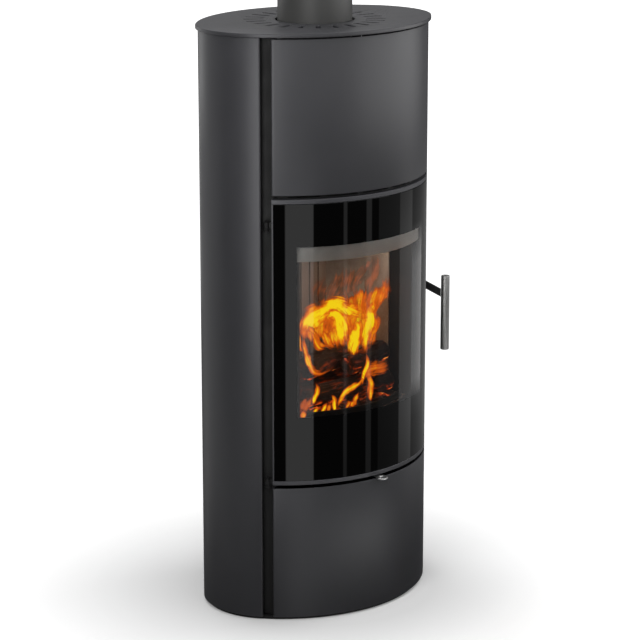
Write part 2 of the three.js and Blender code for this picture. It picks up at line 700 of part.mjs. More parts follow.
function makeLatch() {
  const [x, y] = latchAxis();
  piece('latch_rod', rod(latchRodRadius, x, y, latchBottom, latchTop), materials.zinc);

  const guides = { lower: latchBottom + 40, upper: latchTop - 46 };
  for (const [name, z] of Object.entries(guides)) {
    const lug = frontBand(doorHalfAngle + 0.06, pivotAngle, latchAxisDepth - 4, latchAxisDepth + 4,
      z, z + guideThickness);
    const guide = cut(join(rod(latchBossRadius, x, y, z, z + guideThickness), lug),
      rod(latchRodRadius + turnGap, x, y, z - 1, z + guideThickness + 1));
    piece(`${name}_latch_guide`, guide, materials.innerSteel);
  }

  const names = ['lower', 'upper'];
  fingerHeights().forEach((z, i) => {
    const half = fingerThickness / 2;
    const finger = cut(
      join(rod(latchBossRadius, x, y, z - half, z + half),
        box(x - fingerWidth / 2, x + fingerWidth / 2, y, y + fingerLength, z - half, z + half)),
      rod(latchRodRadius + touchGap, x, y, 0, bodyHeight));
    piece(`${names[i]}_latch_finger`, finger, materials.zinc);
    const keeperRight = x - fingerWidth / 2 - 0.4;
    const postBack = y + 19;
    piece(`${names[i]}_keeper`, box(keeperRight - 3, keeperRight, postBack, postBack + 14, z - 9, z + 9),
      materials.zinc);
  });
}

function makeHandle() {
  const [x, y] = latchAxis();
  const across = new THREE.Vector2(Math.cos(rad(handleDirection)), Math.sin(rad(handleDirection)));
  const gripX = x + across.x * handleOut;
  const gripY = y + across.y * handleOut;
  const half = armHeight / 2;
  const armRootHeight = doorBottom + armRootRise;
  const armTipHeight = doorBottom + armTipRise;
  const handleBottom = doorBottom + handleRise;
  const profile = outline([
    [0, armRootHeight - half], [handleOut, armTipHeight - half],
    [handleOut, armTipHeight + half], [0, armRootHeight + half],
  ]);
  const flat = new THREE.ExtrudeGeometry(profile, { depth: armThickness, bevelEnabled: false });
  flat.translate(0, 0, -armThickness / 2).rotateX(Math.PI / 2).rotateZ(rad(handleDirection));
  const hub = rod(latchBossRadius, x, y, armRootHeight - half - 3, armRootHeight + half + 3);
  const arm = cut(join(solid(flat.translate(x, y, 0)), hub),
    rod(latchRodRadius + touchGap, x, y, 0, bodyHeight),
    rod(handleRadius + touchGap, gripX, gripY, 0, bodyHeight, roundSteps));
  piece('handle_arm', arm, materials.innerSteel);
  piece('handle_bar', rod(handleRadius, gripX, gripY, handleBottom, handleBottom + handleLength, roundSteps),
    materials.stainless);
}

// Firewood on the grate, each log from one end to the other
function makeLogs() {
  const front = chamberFrontY - 13;
  const rear = chamberRearY - 60;
  const logs = [
    { name: 'front_log', from: [-100, front, bedTop + 26], to: [138, front, bedTop + 26], radius: 25 },
    { name: 'rear_log', from: [-118, rear, bedTop + 26], to: [118, rear, bedTop + 26], radius: 25 },
    { name: 'left_log', from: [-88, front + 2, bedTop + 88], to: [70, rear - 20, bedTop + 77], radius: 26 },
    { name: 'right_log', from: [20, front - 8, bedTop + 78], to: [132, front + 10, bedTop + 88], radius: 24 },
  ];
  for (const { name, from, to, radius } of logs) {
    const start = new THREE.Vector3(...from);
    const end = new THREE.Vector3(...to);
    const along = end.clone().sub(start);
    const geometry = new THREE.CylinderGeometry(radius, radius, along.length(), 11);
    const turn = new THREE.Quaternion().setFromUnitVectors(new THREE.Vector3(0, 1, 0), along.normalize());
    geometry.applyQuaternion(turn);
    const middle = start.add(end).multiplyScalar(0.5);
    piece(name, solid(geometry.translate(middle.x, middle.y, middle.z)), materials.bark);
  }
}

makeCasing();
makeTopPlate();
makeChannels();
makeFirebox();
makeLining();
makeAshPan();
makeFlue();
makeStands();
makeAirSupply();
makeDoor();
makeHinges();
makeLatch();
makeHandle();
makeLogs();

export default stove;
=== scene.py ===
"""The looks of a tall oval wood stove with a curved glass door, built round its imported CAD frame.

Metres, +Z up, the door faces -Y. Angles go round the oval from straight ahead (-Y) towards +X.
"""

import math
import random

import bmesh
import bpy
from mathutils import Matrix, Vector, noise


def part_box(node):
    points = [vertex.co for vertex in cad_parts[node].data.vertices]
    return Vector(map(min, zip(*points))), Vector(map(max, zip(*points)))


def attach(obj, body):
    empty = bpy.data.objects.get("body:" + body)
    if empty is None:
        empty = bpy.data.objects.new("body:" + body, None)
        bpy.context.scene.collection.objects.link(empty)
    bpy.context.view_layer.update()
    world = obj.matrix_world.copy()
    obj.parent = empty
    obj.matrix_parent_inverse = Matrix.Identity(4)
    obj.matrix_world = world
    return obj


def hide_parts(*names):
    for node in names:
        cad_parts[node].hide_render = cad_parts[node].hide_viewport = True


bl_info = {
    "name": "Oval wood stove",
    "version": (1, 0, 0),
    "blender": (4, 5, 0),
    "location": "View3D > Sidebar > Stove",
    "description": "Builds the panels, door, firebox, fire and studio of an oval wood stove",
    "category": "Add Mesh",
}

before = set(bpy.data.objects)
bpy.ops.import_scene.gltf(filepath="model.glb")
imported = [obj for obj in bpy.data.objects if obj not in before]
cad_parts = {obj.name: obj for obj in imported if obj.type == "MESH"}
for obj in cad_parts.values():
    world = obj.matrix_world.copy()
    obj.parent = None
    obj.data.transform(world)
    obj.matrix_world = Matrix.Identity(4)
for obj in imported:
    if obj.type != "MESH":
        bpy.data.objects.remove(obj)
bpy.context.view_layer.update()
MM = 0.001

# The oval: its front and rear arcs share one radius, its two side arcs another
JOINT_ANGLE = 49.25
HALF_WIDTH = 0.260
HALF_DEPTH = -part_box("upper_front_panel")[0].y
JOINT_SIN, JOINT_COS = math.sin(math.radians(JOINT_ANGLE)), math.cos(math.radians(JOINT_ANGLE))
ARC_DIFFERENCE = (HALF_WIDTH - HALF_DEPTH) / (JOINT_SIN + JOINT_COS - 1)
SIDE_RADIUS = HALF_WIDTH - ARC_DIFFERENCE * JOINT_SIN
FRONT_RADIUS = SIDE_RADIUS + ARC_DIFFERENCE
SIDE_ARC_X = HALF_WIDTH - SIDE_RADIUS
FRONT_CENTRE_Y = FRONT_RADIUS - HALF_DEPTH

# Where the door, the panels and the hinges' axis stand on the oval, in degrees, as in the frame
DOOR_ANGLE = 44.0
PIVOT_ANGLE = 46.2
SIDE_PANEL_ANGLE = 48.1
REAR_PANEL_ANGLE = 46.5
SHEET = 2.5 * MM
BED_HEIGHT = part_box("floor_brick")[1].z


def linear(code):
    """The linear colour of an sRGB hex code."""
    parts = [int(code[i:i + 2], 16) / 255 for i in (0, 2, 4)]
    return tuple(c / 12.92 if c <= 0.04045 else ((c + 0.055) / 1.055) ** 2.4 for c in parts)


def colour_property(name, description, code):
    """A colour for the sidebar, from its sRGB hex code."""
    return bpy.props.FloatVectorProperty(
        name=name, description=description, subtype="COLOR", size=3, min=0, max=1,
        default=linear(code))


def length_property(name, description, default):
    """A length for the sidebar, in metres."""
    return bpy.props.FloatProperty(
        name=name, description=description, default=default, min=0, unit="LENGTH", precision=4)


class StoveSizes(bpy.types.PropertyGroup):
    """Sizes that shape the pieces without changing the frame."""

    edge_round: length_property("Edge rounding", "Radius on the cut edges of the panels", 0.6 * MM)
    fold_radius: length_property("Fold radius", "Outer radius where a panel is folded back", 3 * MM)
    window_bottom: length_property("Window bottom", "Height where the clear glass starts", 0.427)
    window_top: length_property("Window top", "Height where the clear glass ends", 0.775)
    window_angle: bpy.props.FloatProperty(
        name="Window half angle", description="From the middle of the door to the window's side",
        default=math.radians(34.5), subtype="ANGLE")
    bark_depth: length_property("Bark depth", "How far the bark's ridges stand out", 4 * MM)
    ember_depth: length_property("Ember depth", "Height of the embers over the grate", 16 * MM)
    flame_height: bpy.props.FloatProperty(
        name="Flame height", description="Scales the height of every flame", default=1.0, min=0.2,
        max=1.5, subtype="FACTOR")


class StoveColours(bpy.types.PropertyGroup):
    """Colours of the finishes."""

    paint: colour_property("Paint", "Satin stove paint", "3b3b3e")
    black_steel: colour_property("Black steel", "Heat-darkened steel inside", "131313")
    cast_iron: colour_property("Cast iron", "Grate and log guard", "232221")
    stainless: colour_property("Stainless", "Handle bar and lever", "a3a3a2")
    zinc: colour_property("Zinc", "Bright plated steel", "8f9193")
    glass_print: colour_property("Glass border", "Black print round the window", "030303")
    rope: colour_property("Rope", "Seals of the door", "3a3835")
    # Brightened so that the strip's right end carries a painted reflection
    strip: colour_property("Air wash strip", "Matt steel strip behind the glass", "f4f4f2")
    brick: colour_property("Brick", "Side and corner bricks and the lower baffle", "80776d")
    dark_brick: colour_property("Dark brick", "Rear and floor bricks, darkened by smoke", "544a43")
    bark: colour_property("Bark", "Charred firewood", "130906")
    ember: colour_property("Ember", "Glowing embers", "ff5a14")
    flame_core: colour_property("Flame core", "Hottest part of a flame", "fbd816")
    flame_edge: colour_property("Flame edge", "Cooler part of a flame", "dc5f12")
    pipe: colour_property("Flue pipe", "Satin paint of the flue pipe", "424241")


class StudioSettings(bpy.types.PropertyGroup):
    """The camera, the lamps and the floor."""

    camera_place: bpy.props.FloatVectorProperty(
        name="Camera", description="Where the camera stands", subtype="TRANSLATION",
        default=(-3.3287, -3.8736, 1.8706))
    heading: bpy.props.FloatProperty(
        name="Heading", description="Camera direction, from +Y towards +X",
        default=math.radians(40.79), subtype="ANGLE")
    tilt: bpy.props.FloatProperty(
        name="Tilt", description="How far the camera looks down", default=math.radians(14.25),
        subtype="ANGLE")
    lens: bpy.props.FloatProperty(
        name="Lens", description="Focal length", default=144, unit="CAMERA")
    top_level: bpy.props.FloatProperty(
        name="Top lamp", description="Share of plain light from above", default=0.32)
    key_level: bpy.props.FloatProperty(
        name="Key lamp", description="Share of plain light from the front left lamp", default=0.46)
    fill_level: bpy.props.FloatProperty(
        name="Fill lamp", description="Share of plain light from the right lamp", default=0.46)
    back_level: bpy.props.FloatProperty(
        name="Back lamp", description="Share of plain light from behind", default=0.3)
    sky_level: bpy.props.FloatProperty(
        name="Ambient", description="Share of plain light from all round", default=0.32)
    fire_power: bpy.props.FloatProperty(
        name="Fire light", description="Power of the lamps in the fire", default=2.2, unit="POWER")
    floor: colour_property("Floor", "Colour of the studio floor", "c8c8c8")


# ---------------------------------------------------------------- meshes


def surface(angle):
    """Point and outward normal of the oval at an angle in degrees, in plan."""
    turn = (angle + 180) % 360 - 180
    side = -1 if turn < 0 else 1
    away = abs(turn)
    sine, cosine = math.sin(math.radians(away)), math.cos(math.radians(away))
    if away <= JOINT_ANGLE:
        point = (FRONT_RADIUS * sine, FRONT_CENTRE_Y - FRONT_RADIUS * cosine)
    elif away <= 180 - JOINT_ANGLE:
        point = (SIDE_ARC_X + SIDE_RADIUS * sine, -SIDE_RADIUS * cosine)
    else:
        point = (FRONT_RADIUS * sine, -FRONT_CENTRE_Y - FRONT_RADIUS * cosine)
    return Vector((side * point[0], point[1], 0)), Vector((side * sine, -cosine, 0))


def place(angle, depth, height):
    """A point at a depth under the surface."""
    point, normal = surface(angle)
    return point - normal * depth + Vector((0, 0, height))


def circle(radius, steps):
    """The points of a circle in plan."""
    return [(radius * math.cos(2 * math.pi * i / steps), radius * math.sin(2 * math.pi * i / steps))
            for i in range(steps)]


def arc(start, end, depth=0.0, step=1.0):
    """A path round the oval: points with their outward normals."""
    count = max(1, math.ceil(abs(end - start) / step))
    path = []
    for i in range(count + 1):
        point, normal = surface(start + (end - start) * i / count)
        path.append((point - normal * depth, normal))
    return path


def folded(path, radius, reaches, steps=6):
    """The path with its two ends folded inward, each by its own reach."""
    for reach in reaches:
        path = path[::-1]
        end, normal = path[-1]
        along = (end - path[-2][0]).normalized()
        centre = end - normal * radius
        for i in range(1, steps + 1):
            turn = math.radians(90 * i / steps)
            facing = normal * math.cos(turn) + along * math.sin(turn)
            path.append((centre + facing * radius, facing))
        path.append((path[-1][0] - normal * (reach - radius), along))
    return path


def rounded_section(outer, inner, bottom, top, radius, steps=3):
    """Corner-rounded rectangle of (depth, height) points."""
    corners = ((outer + radius, bottom + radius, 180), (inner - radius, bottom + radius, 270),
               (inner - radius, top - radius, 0), (outer + radius, top - radius, 90))
    return [(depth + radius * math.cos(math.radians(start + 90 * i / steps)),
             height + radius * math.sin(math.radians(start + 90 * i / steps)))
            for depth, height, start in corners for i in range(steps + 1)]


def new_object(name, data):
    """An object in the scene, from a mesh, a lamp or a camera."""
    thing = bpy.data.objects.new(name, data)
    bpy.context.scene.collection.objects.link(thing)
    return thing


def settle(mesh, sharp=35):
    """Faces outward, no doubled points, smooth except over sharp edges."""
    work = bmesh.new()
    work.from_mesh(mesh)
    bmesh.ops.remove_doubles(work, verts=work.verts, dist=1e-6)
    bmesh.ops.recalc_face_normals(work, faces=work.faces)
    work.to_mesh(mesh)
    work.free()
    mesh.polygons.foreach_set("use_smooth", [True] * len(mesh.polygons))
    mesh.set_sharp_from_angle(angle=math.radians(sharp))
    mesh.update()


def lofted(name, rows, wrap=True, caps=True, sharp=35):
    """A mesh that joins each row of points to the next."""
    count = len(rows[0])
    points = [tuple(p) for row in rows for p in row]
    faces = []
    for i in range(len(rows) - 1):
        for j in range(count if wrap else count - 1):
            a, b = i * count + j, i * count + (j + 1) % count
            faces.append((a, b, b + count, a + count))
    if caps:
        faces.append(tuple(range(count))[::-1])
        faces.append(tuple(range(len(points) - count, len(points))))
    mesh = bpy.data.meshes.new(name)
    mesh.from_pydata(points, [], faces)
    settle(mesh, sharp)
    return new_object(name, mesh)


def swept(name, path, section, radius):
    """Sheet metal: the section carried along the path, with rounded ends."""
    depths = [d for d, _ in section]
    heights = [h for _, h in section]
    middle = ((min(depths) + max(depths)) / 2, (min(heights) + max(heights)) / 2)
    reach = (max(depths) - middle[0], max(heights) - middle[1])

    def row(point, normal, shrink):
        squeeze = [1 - shrink / r for r in reach]
        return [point - normal * (middle[0] + (d - middle[0]) * squeeze[0])
                + Vector((0, 0, middle[1] + (h - middle[1]) * squeeze[1])) for d, h in section]
    ends = []
    for (end, normal), (inner, _) in ((path[0], path[1]), (path[-1], path[-2])):
        inward = (inner - end).normalized() * radius
        ends.append([row(end, normal, radius), row(end + inward, normal, 0)])
    between = [row(point, normal, 0) for point, normal in path[1:-1]]
    return lofted(name, ends[0] + between + ends[1][::-1])


def panel(name, path, bottom, top, thickness=SHEET):
    """An upright sheet along a path."""
    radius = min(bpy.context.scene.stove_sizes.edge_round, thickness * 0.4)
    return swept(name, path, rounded_section(0, thickness, bottom, top, radius), radius)


def turned(name, profile, centre=(0, 0), steps=96, closed=False):
    """A shape turned about an upright axis, from (radius, height) points."""
    rows = [[(centre[0] + r * c, centre[1] + r * s, z) for c, s in circle(1, steps)]
            for r, z in profile]
    if closed:
        rows.append(rows[0])
    return lofted(name, rows, caps=not closed)


def prism(name, outline, bottom, top):
    """An upright block from a plan outline."""
    return lofted(name, [[(x, y, z) for x, y in outline] for z in (bottom, top)])


def slot_outline(length, width, turn=0.0, away=0.0, steps=8):
    """A round-ended slot that starts away from the origin, turned about it."""
    radius = width / 2
    ends = ((away + length - radius, -90), (away + radius, 90))
    points = [(x + radius * math.cos(math.radians(start + 180 * i / steps)),
               radius * math.sin(math.radians(start + 180 * i / steps)))
              for x, start in ends for i in range(steps + 1)]
    cosine, sine = math.cos(turn), math.sin(turn)
    return [(x * cosine - y * sine, x * sine + y * cosine) for x, y in points]


def apply_modifiers(piece):
    """Makes the piece's modifiers part of its mesh."""
    graph = bpy.context.evaluated_depsgraph_get()
    mesh = bpy.data.meshes.new_from_object(piece.evaluated_get(graph))
    piece.modifiers.clear()
    old = piece.data
    piece.data = mesh
    bpy.data.meshes.remove(old)
    mesh.name = piece.name
    settle(mesh)


def joined(pieces, name):
    """One mesh object from several."""
    work = bmesh.new()
    for piece in pieces:
        work.from_mesh(piece.data)
    mesh = bpy.data.meshes.new(name)
    work.to_mesh(mesh)
    work.free()
    for piece in pieces:
        bpy.data.objects.remove(piece)
    return new_object(name, mesh)


def cut(piece, tools):
    """Cuts the tools out of the piece."""
    tool = joined(tools, "tool")
    modifier = piece.modifiers.new("cut", "BOOLEAN")
    modifier.operation = "DIFFERENCE"
    modifier.solver = "EXACT"
    modifier.object = tool
    apply_modifiers(piece)
    bpy.data.objects.remove(tool)


def soften(piece, width, angle=40, segments=2):
    """Adds a modifier that rounds the piece's sharp edges."""
    modifier = piece.modifiers.new("edges", "BEVEL")
    modifier.width = width
    modifier.segments = segments
    modifier.limit_method = "ANGLE"
    modifier.angle_limit = math.radians(angle)


def mirror(piece):
    """Turns the piece into its mirror image on the other side of the stove."""
    piece.data.transform(Matrix.Scale(-1, 4, (1, 0, 0)))
    settle(piece.data)


def closed_tube(name, points, radius, squash, up, steps=12):
    """A flattened tube round a closed row of points; up gives the flattened direction."""
    rows = []
    for i, point in enumerate(points):
        along = (points[(i + 1) % len(points)] - points[i - 1]).normalized()
        side = along.cross(up(point)).normalized()
        over = side.cross(along)
        rows.append([point + side * radius * c + over * radius * squash * s
                     for c, s in circle(1, steps)])
    return lofted(name, rows + rows[:1], caps=False)


def dress(piece, finishes, body, slot, *nodes):
    """Gives a piece its finishes, its body and the CAD nodes that it stands for."""
    piece.data.materials.clear()
    for finish in finishes.split():
        piece.data.materials.append(Finish.made[finish])
    if nodes:
        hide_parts(*nodes)
    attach(piece, body)


def keep_nodes(finish, *names, edge=0.3 * MM):
    """CAD nodes that stay, with a finish and softened edges."""
    for name in names:
        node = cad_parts[name]
        node.data.materials.clear()
        node.data.materials.append(Finish.made[finish])
        soften(node, edge)


# ---------------------------------------------------------------- finishes


class Nodes:
    """A node tree, and short ways to add to it."""

    def __init__(self, tree):
        self.tree = tree
        tree.nodes.clear()

    def add(self, kind, sockets=None, **settings):
        """A node with its settings; a socket takes a value or another node's output."""
        node = self.tree.nodes.new(kind)
        for key, value in settings.items():
            setattr(node, key, value)
        for key, value in (sockets or {}).items():
            socket = node.inputs[key]
            if isinstance(value, bpy.types.NodeSocket):
                self.join(value, socket)
            elif socket.type == "RGBA" and len(value) == 3:
                socket.default_value = (*value, 1)
            else:
                socket.default_value = value
        return node

    def join(self, source, target):
        self.tree.links.new(source, target)

    def math(self, operation, *values, clamp=False):
        node = self.add("ShaderNodeMath", dict(enumerate(values)), operation=operation)
        node.use_clamp = clamp
        return node.outputs[0]

    def split(self, vector):
        """The X, Y and Z of a vector."""
        return self.add("ShaderNodeSeparateXYZ", {0: vector}).outputs

    def spread(self, value, low, high, to_low=0.0, to_high=1.0, smooth=False):
        """Maps a range of a value to another, held at its ends."""
        node = self.add("ShaderNodeMapRange", {
            "Value": value, "From Min": low, "From Max": high, "To Min": to_low,
            "To Max": to_high})
        node.interpolation_type = "SMOOTHSTEP" if smooth else "LINEAR"
        return node.outputs[0]

    def mix(self, amount, first, second):
        """One shader over another."""
        return self.add("ShaderNodeMixShader", {0: amount, 1: first, 2: second}).outputs[0]

    def background_rays(self):
        """One for rays that may show the background: straight, mirrored or through glass."""
        path = self.add("ShaderNodeLightPath").outputs
        both = self.math("MAXIMUM", path["Is Camera Ray"], path["Is Glossy Ray"])
        return self.math("MAXIMUM", both, path["Is Transmission Ray"])


class Finish(Nodes):
    """A material and the few ways that this stove's finishes are put together."""

    made = {}

    def __init__(self, name, **sockets):
        self.material = bpy.data.materials.new(name)
        self.material.use_nodes = True
        super().__init__(self.material.node_tree)
        self.output = self.add("ShaderNodeOutputMaterial")
        self.shader = self.add("ShaderNodeBsdfPrincipled", sockets)
        self.join(self.shader.outputs[0], self.output.inputs[0])
        self.place = self.add("ShaderNodeTexCoord").outputs["Object"]
        Finish.made[name] = self.material

    def show(self, shader):
        """Puts another shader in the place of the usual one."""
        self.tree.nodes.remove(self.shader)
        self.join(shader, self.output.inputs[0])

    def stretch(self, scale, move=(0, 0, 0), source=None):
        """Object coordinates, scaled along each axis."""
        return self.add("ShaderNodeMapping", {
            "Vector": source or self.place, "Scale": scale, "Location": move}).outputs[0]

    def noise(self, scale, detail=3.0, vector=None, roughness=0.55, distortion=0.0):
        return self.add("ShaderNodeTexNoise", {
            "Vector": vector or self.place, "Scale": scale, "Detail": detail,
            "Roughness": roughness, "Distortion": distortion}).outputs["Fac"]

    def blend(self, amount, first, second, kind="MIX"):
        node = self.add("ShaderNodeMix", {0: amount, 6: first, 7: second}, data_type="RGBA",
                        blend_type=kind)
        return node.outputs[2]

    def ramp(self, value, stops):
        node = self.add("ShaderNodeValToRGB", {0: value})
        elements = node.color_ramp.elements
        while len(elements) < len(stops):
            elements.new(1.0)
        for element, (position, colour) in zip(elements, stops):
            element.position = position
            element.color = (*colour, 1)
        return node.outputs[0]

    def colour(self, source):
        self.join(source, self.shader.inputs["Base Color"])

    def rough(self, source):
        self.join(source, self.shader.inputs["Roughness"])

    def bump(self, height, strength, distance):
        normal = self.add("ShaderNodeBump", {
            "Height": height, "Strength": strength, "Distance": distance}).outputs[0]
        self.join(normal, self.shader.inputs["Normal"])


def shade(colour, factor):
    """A darker or lighter form of a colour."""
    return tuple(min(1.0, c * factor) for c in colour)


def satin_paint(name, colour, roughness=0.42):
    """Heat-proof satin paint: an even colour, a fine grain and faint clouds in its sheen."""
    finish = Finish(name, **{"Metallic": 0.1, "Specular IOR Level": 0.5})
    clouds = finish.noise(7, 3)
    finish.colour(finish.blend(finish.spread(clouds, 0.3, 0.7), shade(colour, 0.93),
                               shade(colour, 1.07)))
    grain = finish.noise(2600, 2)
    sheen = finish.spread(clouds, 0.3, 0.7, roughness - 0.03, roughness + 0.03)
    finish.rough(finish.math("ADD", sheen, finish.spread(grain, 0.35, 0.65, -0.03, 0.03)))
    finish.bump(grain, 0.12, 0.12 * MM)


def black_steel(name, colour):
    """Heat-darkened steel with dust and blotches."""
    finish = Finish(name, **{"Metallic": 0.2, "Specular IOR Level": 0.35})
    blotch = finish.noise(22, 5)
    finish.colour(finish.ramp(blotch, [(0.3, shade(colour, 0.7)), (0.55, colour),
                                       (0.75, shade(colour, 1.8))]))
    finish.rough(finish.spread(blotch, 0.3, 0.7, 0.5, 0.72))
    finish.bump(finish.noise(900, 3), 0.2, 0.2 * MM)


def cast_iron(colour):
    """Sand-cast iron."""
    finish = Finish("cast_iron", **{"Metallic": 0.5})
    sand = finish.noise(650, 4, roughness=0.7)
    finish.colour(finish.blend(finish.spread(sand, 0.35, 0.7), shade(colour, 0.7),
                               shade(colour, 1.7)))
    finish.rough(finish.spread(sand, 0.3, 0.7, 0.62, 0.86))
    finish.bump(sand, 0.5, 0.5 * MM)


def brushed_steel(name, colour, along=(900, 900, 12), roughness=0.43):
    """Stainless steel, brushed along its length."""
    finish = Finish(name, **{"Metallic": 1.0})
    lines = finish.noise(1, 3, finish.stretch(along), roughness=0.7)
    finish.colour(finish.blend(lines, shade(colour, 0.78), shade(colour, 1.15)))
    finish.rough(finish.spread(lines, 0.3, 0.7, roughness - 0.07, roughness + 0.1))
    finish.bump(lines, 0.12, 0.06 * MM)


def strip_painted_shade(colour):
    """Matt stainless strip, darker towards its left end by painted shade and brighter towards its
    right end by a painted reflection.
    """
    finish = Finish("strip_painted_shade", **{"Metallic": 0.2, "Specular IOR Level": 0.4})
    cloud = finish.math("MULTIPLY", finish.math("SUBTRACT", finish.noise(12, 4), 0.5), 0.12)
    place = finish.math("ADD", finish.split(finish.place)["X"], cloud)
    # Painted shade and light along X: a dark left end that brightens to the right, its edge blurred
    # by noise
    painted_light_share = finish.spread(place, -0.17, -0.02)
    finish.colour(finish.blend(painted_light_share, shade(colour, 0.3), colour))
    lines = finish.noise(1, 3, finish.stretch((12, 12, 900)))
    finish.rough(finish.spread(lines, 0.3, 0.7, 0.45, 0.6))
    finish.bump(lines, 0.1, 0.06 * MM)


def zinc_plate(colour):
    """Bright zinc with a faint crystal pattern."""
    finish = Finish("zinc_plate", **{"Metallic": 0.9})
    spangle = finish.add("ShaderNodeTexVoronoi", {"Vector": finish.place, "Scale": 160}).outputs[1]
    patch = finish.noise(40, 4)
    finish.colour(finish.blend(patch, finish.blend(0.12, colour, spangle), shade(colour, 0.72)))
    finish.rough(finish.spread(patch, 0.3, 0.7, 0.28, 0.46))
    finish.bump(finish.noise(700, 2), 0.08, 0.1 * MM)


def woven_rope(colour):
    """Braided glass rope, dusted with soot."""
    finish = Finish("woven_rope", Roughness=0.95)
    strands = finish.add("ShaderNodeTexWave", {
        "Vector": finish.stretch((1, 1, 1)), "Scale": 190, "Distortion": 3.0, "Detail": 2.0},
        wave_type="BANDS", bands_direction="DIAGONAL").outputs["Fac"]
    fluff = finish.noise(800, 3)
    finish.colour(finish.blend(finish.math("MULTIPLY", strands, fluff), shade(colour, 0.45),
                               shade(colour, 1.9)))
    finish.bump(strands, 0.7, 0.8 * MM)


def fire_brick(name, colour, soot, rear_soot=1.0):
    """Pressed vermiculite: flakes and pores, with soot that thickens upwards and to the rear."""
    finish = Finish(name, Roughness=0.93)
    flakes = finish.add("ShaderNodeTexVoronoi", {
        "Vector": finish.stretch((1, 1, 0.5)), "Scale": 260}).outputs["Distance"]
    cloud = finish.noise(16, 5, roughness=0.65)
    body = finish.ramp(cloud, [(0.25, shade(colour, 0.62)), (0.5, colour),
                               (0.75, shade(colour, 1.35))])
    flecked = finish.blend(finish.spread(flakes, 0.1, 0.45, 0.0, 0.4), body, shade(colour, 0.45))
    spot = finish.split(finish.place)
    smoke = finish.math("MULTIPLY", finish.spread(spot["Z"], BED_HEIGHT + 0.05, BED_HEIGHT + 0.39),
                        finish.spread(cloud, 0.2, 0.7, 0.7 * soot, 1.1 * soot))
    smoke = finish.math("MULTIPLY", smoke, finish.spread(spot["Y"], -0.05, 0.05, 1.0, rear_soot),
                        clamp=True)
    finish.colour(finish.blend(smoke, flecked, (0.012, 0.009, 0.007)))
    pores = finish.noise(420, 4, roughness=0.7)
    finish.bump(finish.math("ADD", flakes, pores), 0.55, 0.9 * MM)


def glow(finish, hot, colour, strength):
    """Lets the hot parts of a finish shine, dull red first and then orange."""
    finish.join(finish.ramp(hot, [(0.0, (0, 0, 0)), (0.3, shade(colour, 0.12)),
                                  (0.65, shade(colour, 0.6)), (1.0, (1.0, 0.42, 0.07))]),
                finish.shader.inputs["Emission Color"])
    finish.shader.inputs["Emission Strength"].default_value = strength


def charred_bark(colour, ember):
    """Firewood that has caught: charred bark along the grain, with glowing splits below."""
    finish = Finish("charred_bark", Roughness=0.88)
    grain = finish.add("ShaderNodeAttribute", attribute_name="grain").outputs["Vector"]
    fibre = finish.noise(1, 6, finish.stretch((16, 120, 120), source=grain), roughness=0.65)
    plates = finish.noise(1, 3, finish.stretch((22, 48, 48), source=grain), distortion=1.2)
    finish.colour(finish.ramp(fibre, [(0.3, shade(colour, 0.3)), (0.5, colour),
                                      (0.66, shade(colour, 1.7)), (0.8, shade(colour, 3.0))]))
    normal = finish.add("ShaderNodeNewGeometry").outputs["Normal"]
    under = finish.spread(finish.split(normal)["Z"], 0.1, -0.8)
    splits = finish.math("MULTIPLY", finish.spread(fibre, 0.5, 0.36),
                         finish.spread(plates, 0.48, 0.66))
    hot_splits = finish.math("MULTIPLY", splits, finish.math("ADD", under, 0.35))
    hot_plates = finish.math("MULTIPLY", under, finish.spread(plates, 0.5, 0.8))
    glow(finish, finish.math("ADD", hot_splits, hot_plates, clamp=True), ember, 1.4)
    finish.bump(finish.math("ADD", fibre, plates), 0.8, 2.5 * MM)


def ember_bed(colour, ember):
    """Broken charcoal and ash with fire between the pieces."""
    finish = Finish("ember_bed", Roughness=0.95)
    ash = finish.noise(70, 5, roughness=0.7)
    finish.colour(finish.ramp(ash, [(0.35, shade(colour, 0.4)), (0.6, shade(colour, 1.6)),
                                    (0.8, (0.12, 0.10, 0.09))]))
    cells = finish.add("ShaderNodeTexVoronoi", {"Vector": finish.place, "Scale": 75.0}).outputs[0]
    patch = finish.spread(finish.noise(30, 4, distortion=0.8), 0.46, 0.7)
    hot = finish.math("MULTIPLY", patch, finish.spread(cells, 0.15, 0.7), clamp=True)
    glow(finish, hot, ember, 1.1)
    finish.bump(finish.math("ADD", ash, cells), 0.8, 2.5 * MM)


def printed_glass(colour):
    """Glass over a black print."""
    finish = Finish("printed_glass", **{"Roughness": 0.02, "IOR": 1.45})
    finish.colour(finish.blend(finish.noise(30, 2), colour, shade(colour, 1.3)))


def clear_pane():
    """Clear heat-proof glass: a reflection over what is behind it."""
    finish = Finish("clear_pane")
    tint = finish.blend(finish.noise(9, 2), (0.93, 0.93, 0.92), (0.97, 0.97, 0.96))
    through = finish.add("ShaderNodeBsdfTransparent", {"Color": tint}).outputs[0]
    reflection = finish.add("ShaderNodeBsdfGlossy", {
        "Color": (1.0, 1.0, 1.0), "Roughness": 0.02}).outputs[0]
    amount = finish.add("ShaderNodeFresnel", {"IOR": 1.5}).outputs[0]
    finish.show(finish.mix(amount, through, reflection))


def smoked_pane():
    """The inside face of the window: clear, with a thin brown haze of smoke."""
    finish = Finish("smoked_pane")
    through = finish.add("ShaderNodeBsdfTransparent", {"Color": (0.97, 0.96, 0.95)}).outputs[0]
    haze = finish.add("ShaderNodeBsdfDiffuse", {"Color": (0.05, 0.04, 0.035)}).outputs[0]
    cloud = finish.spread(finish.noise(14, 4), 0.45, 0.8, 0.0, 0.1)
    finish.show(finish.mix(cloud, through, haze))


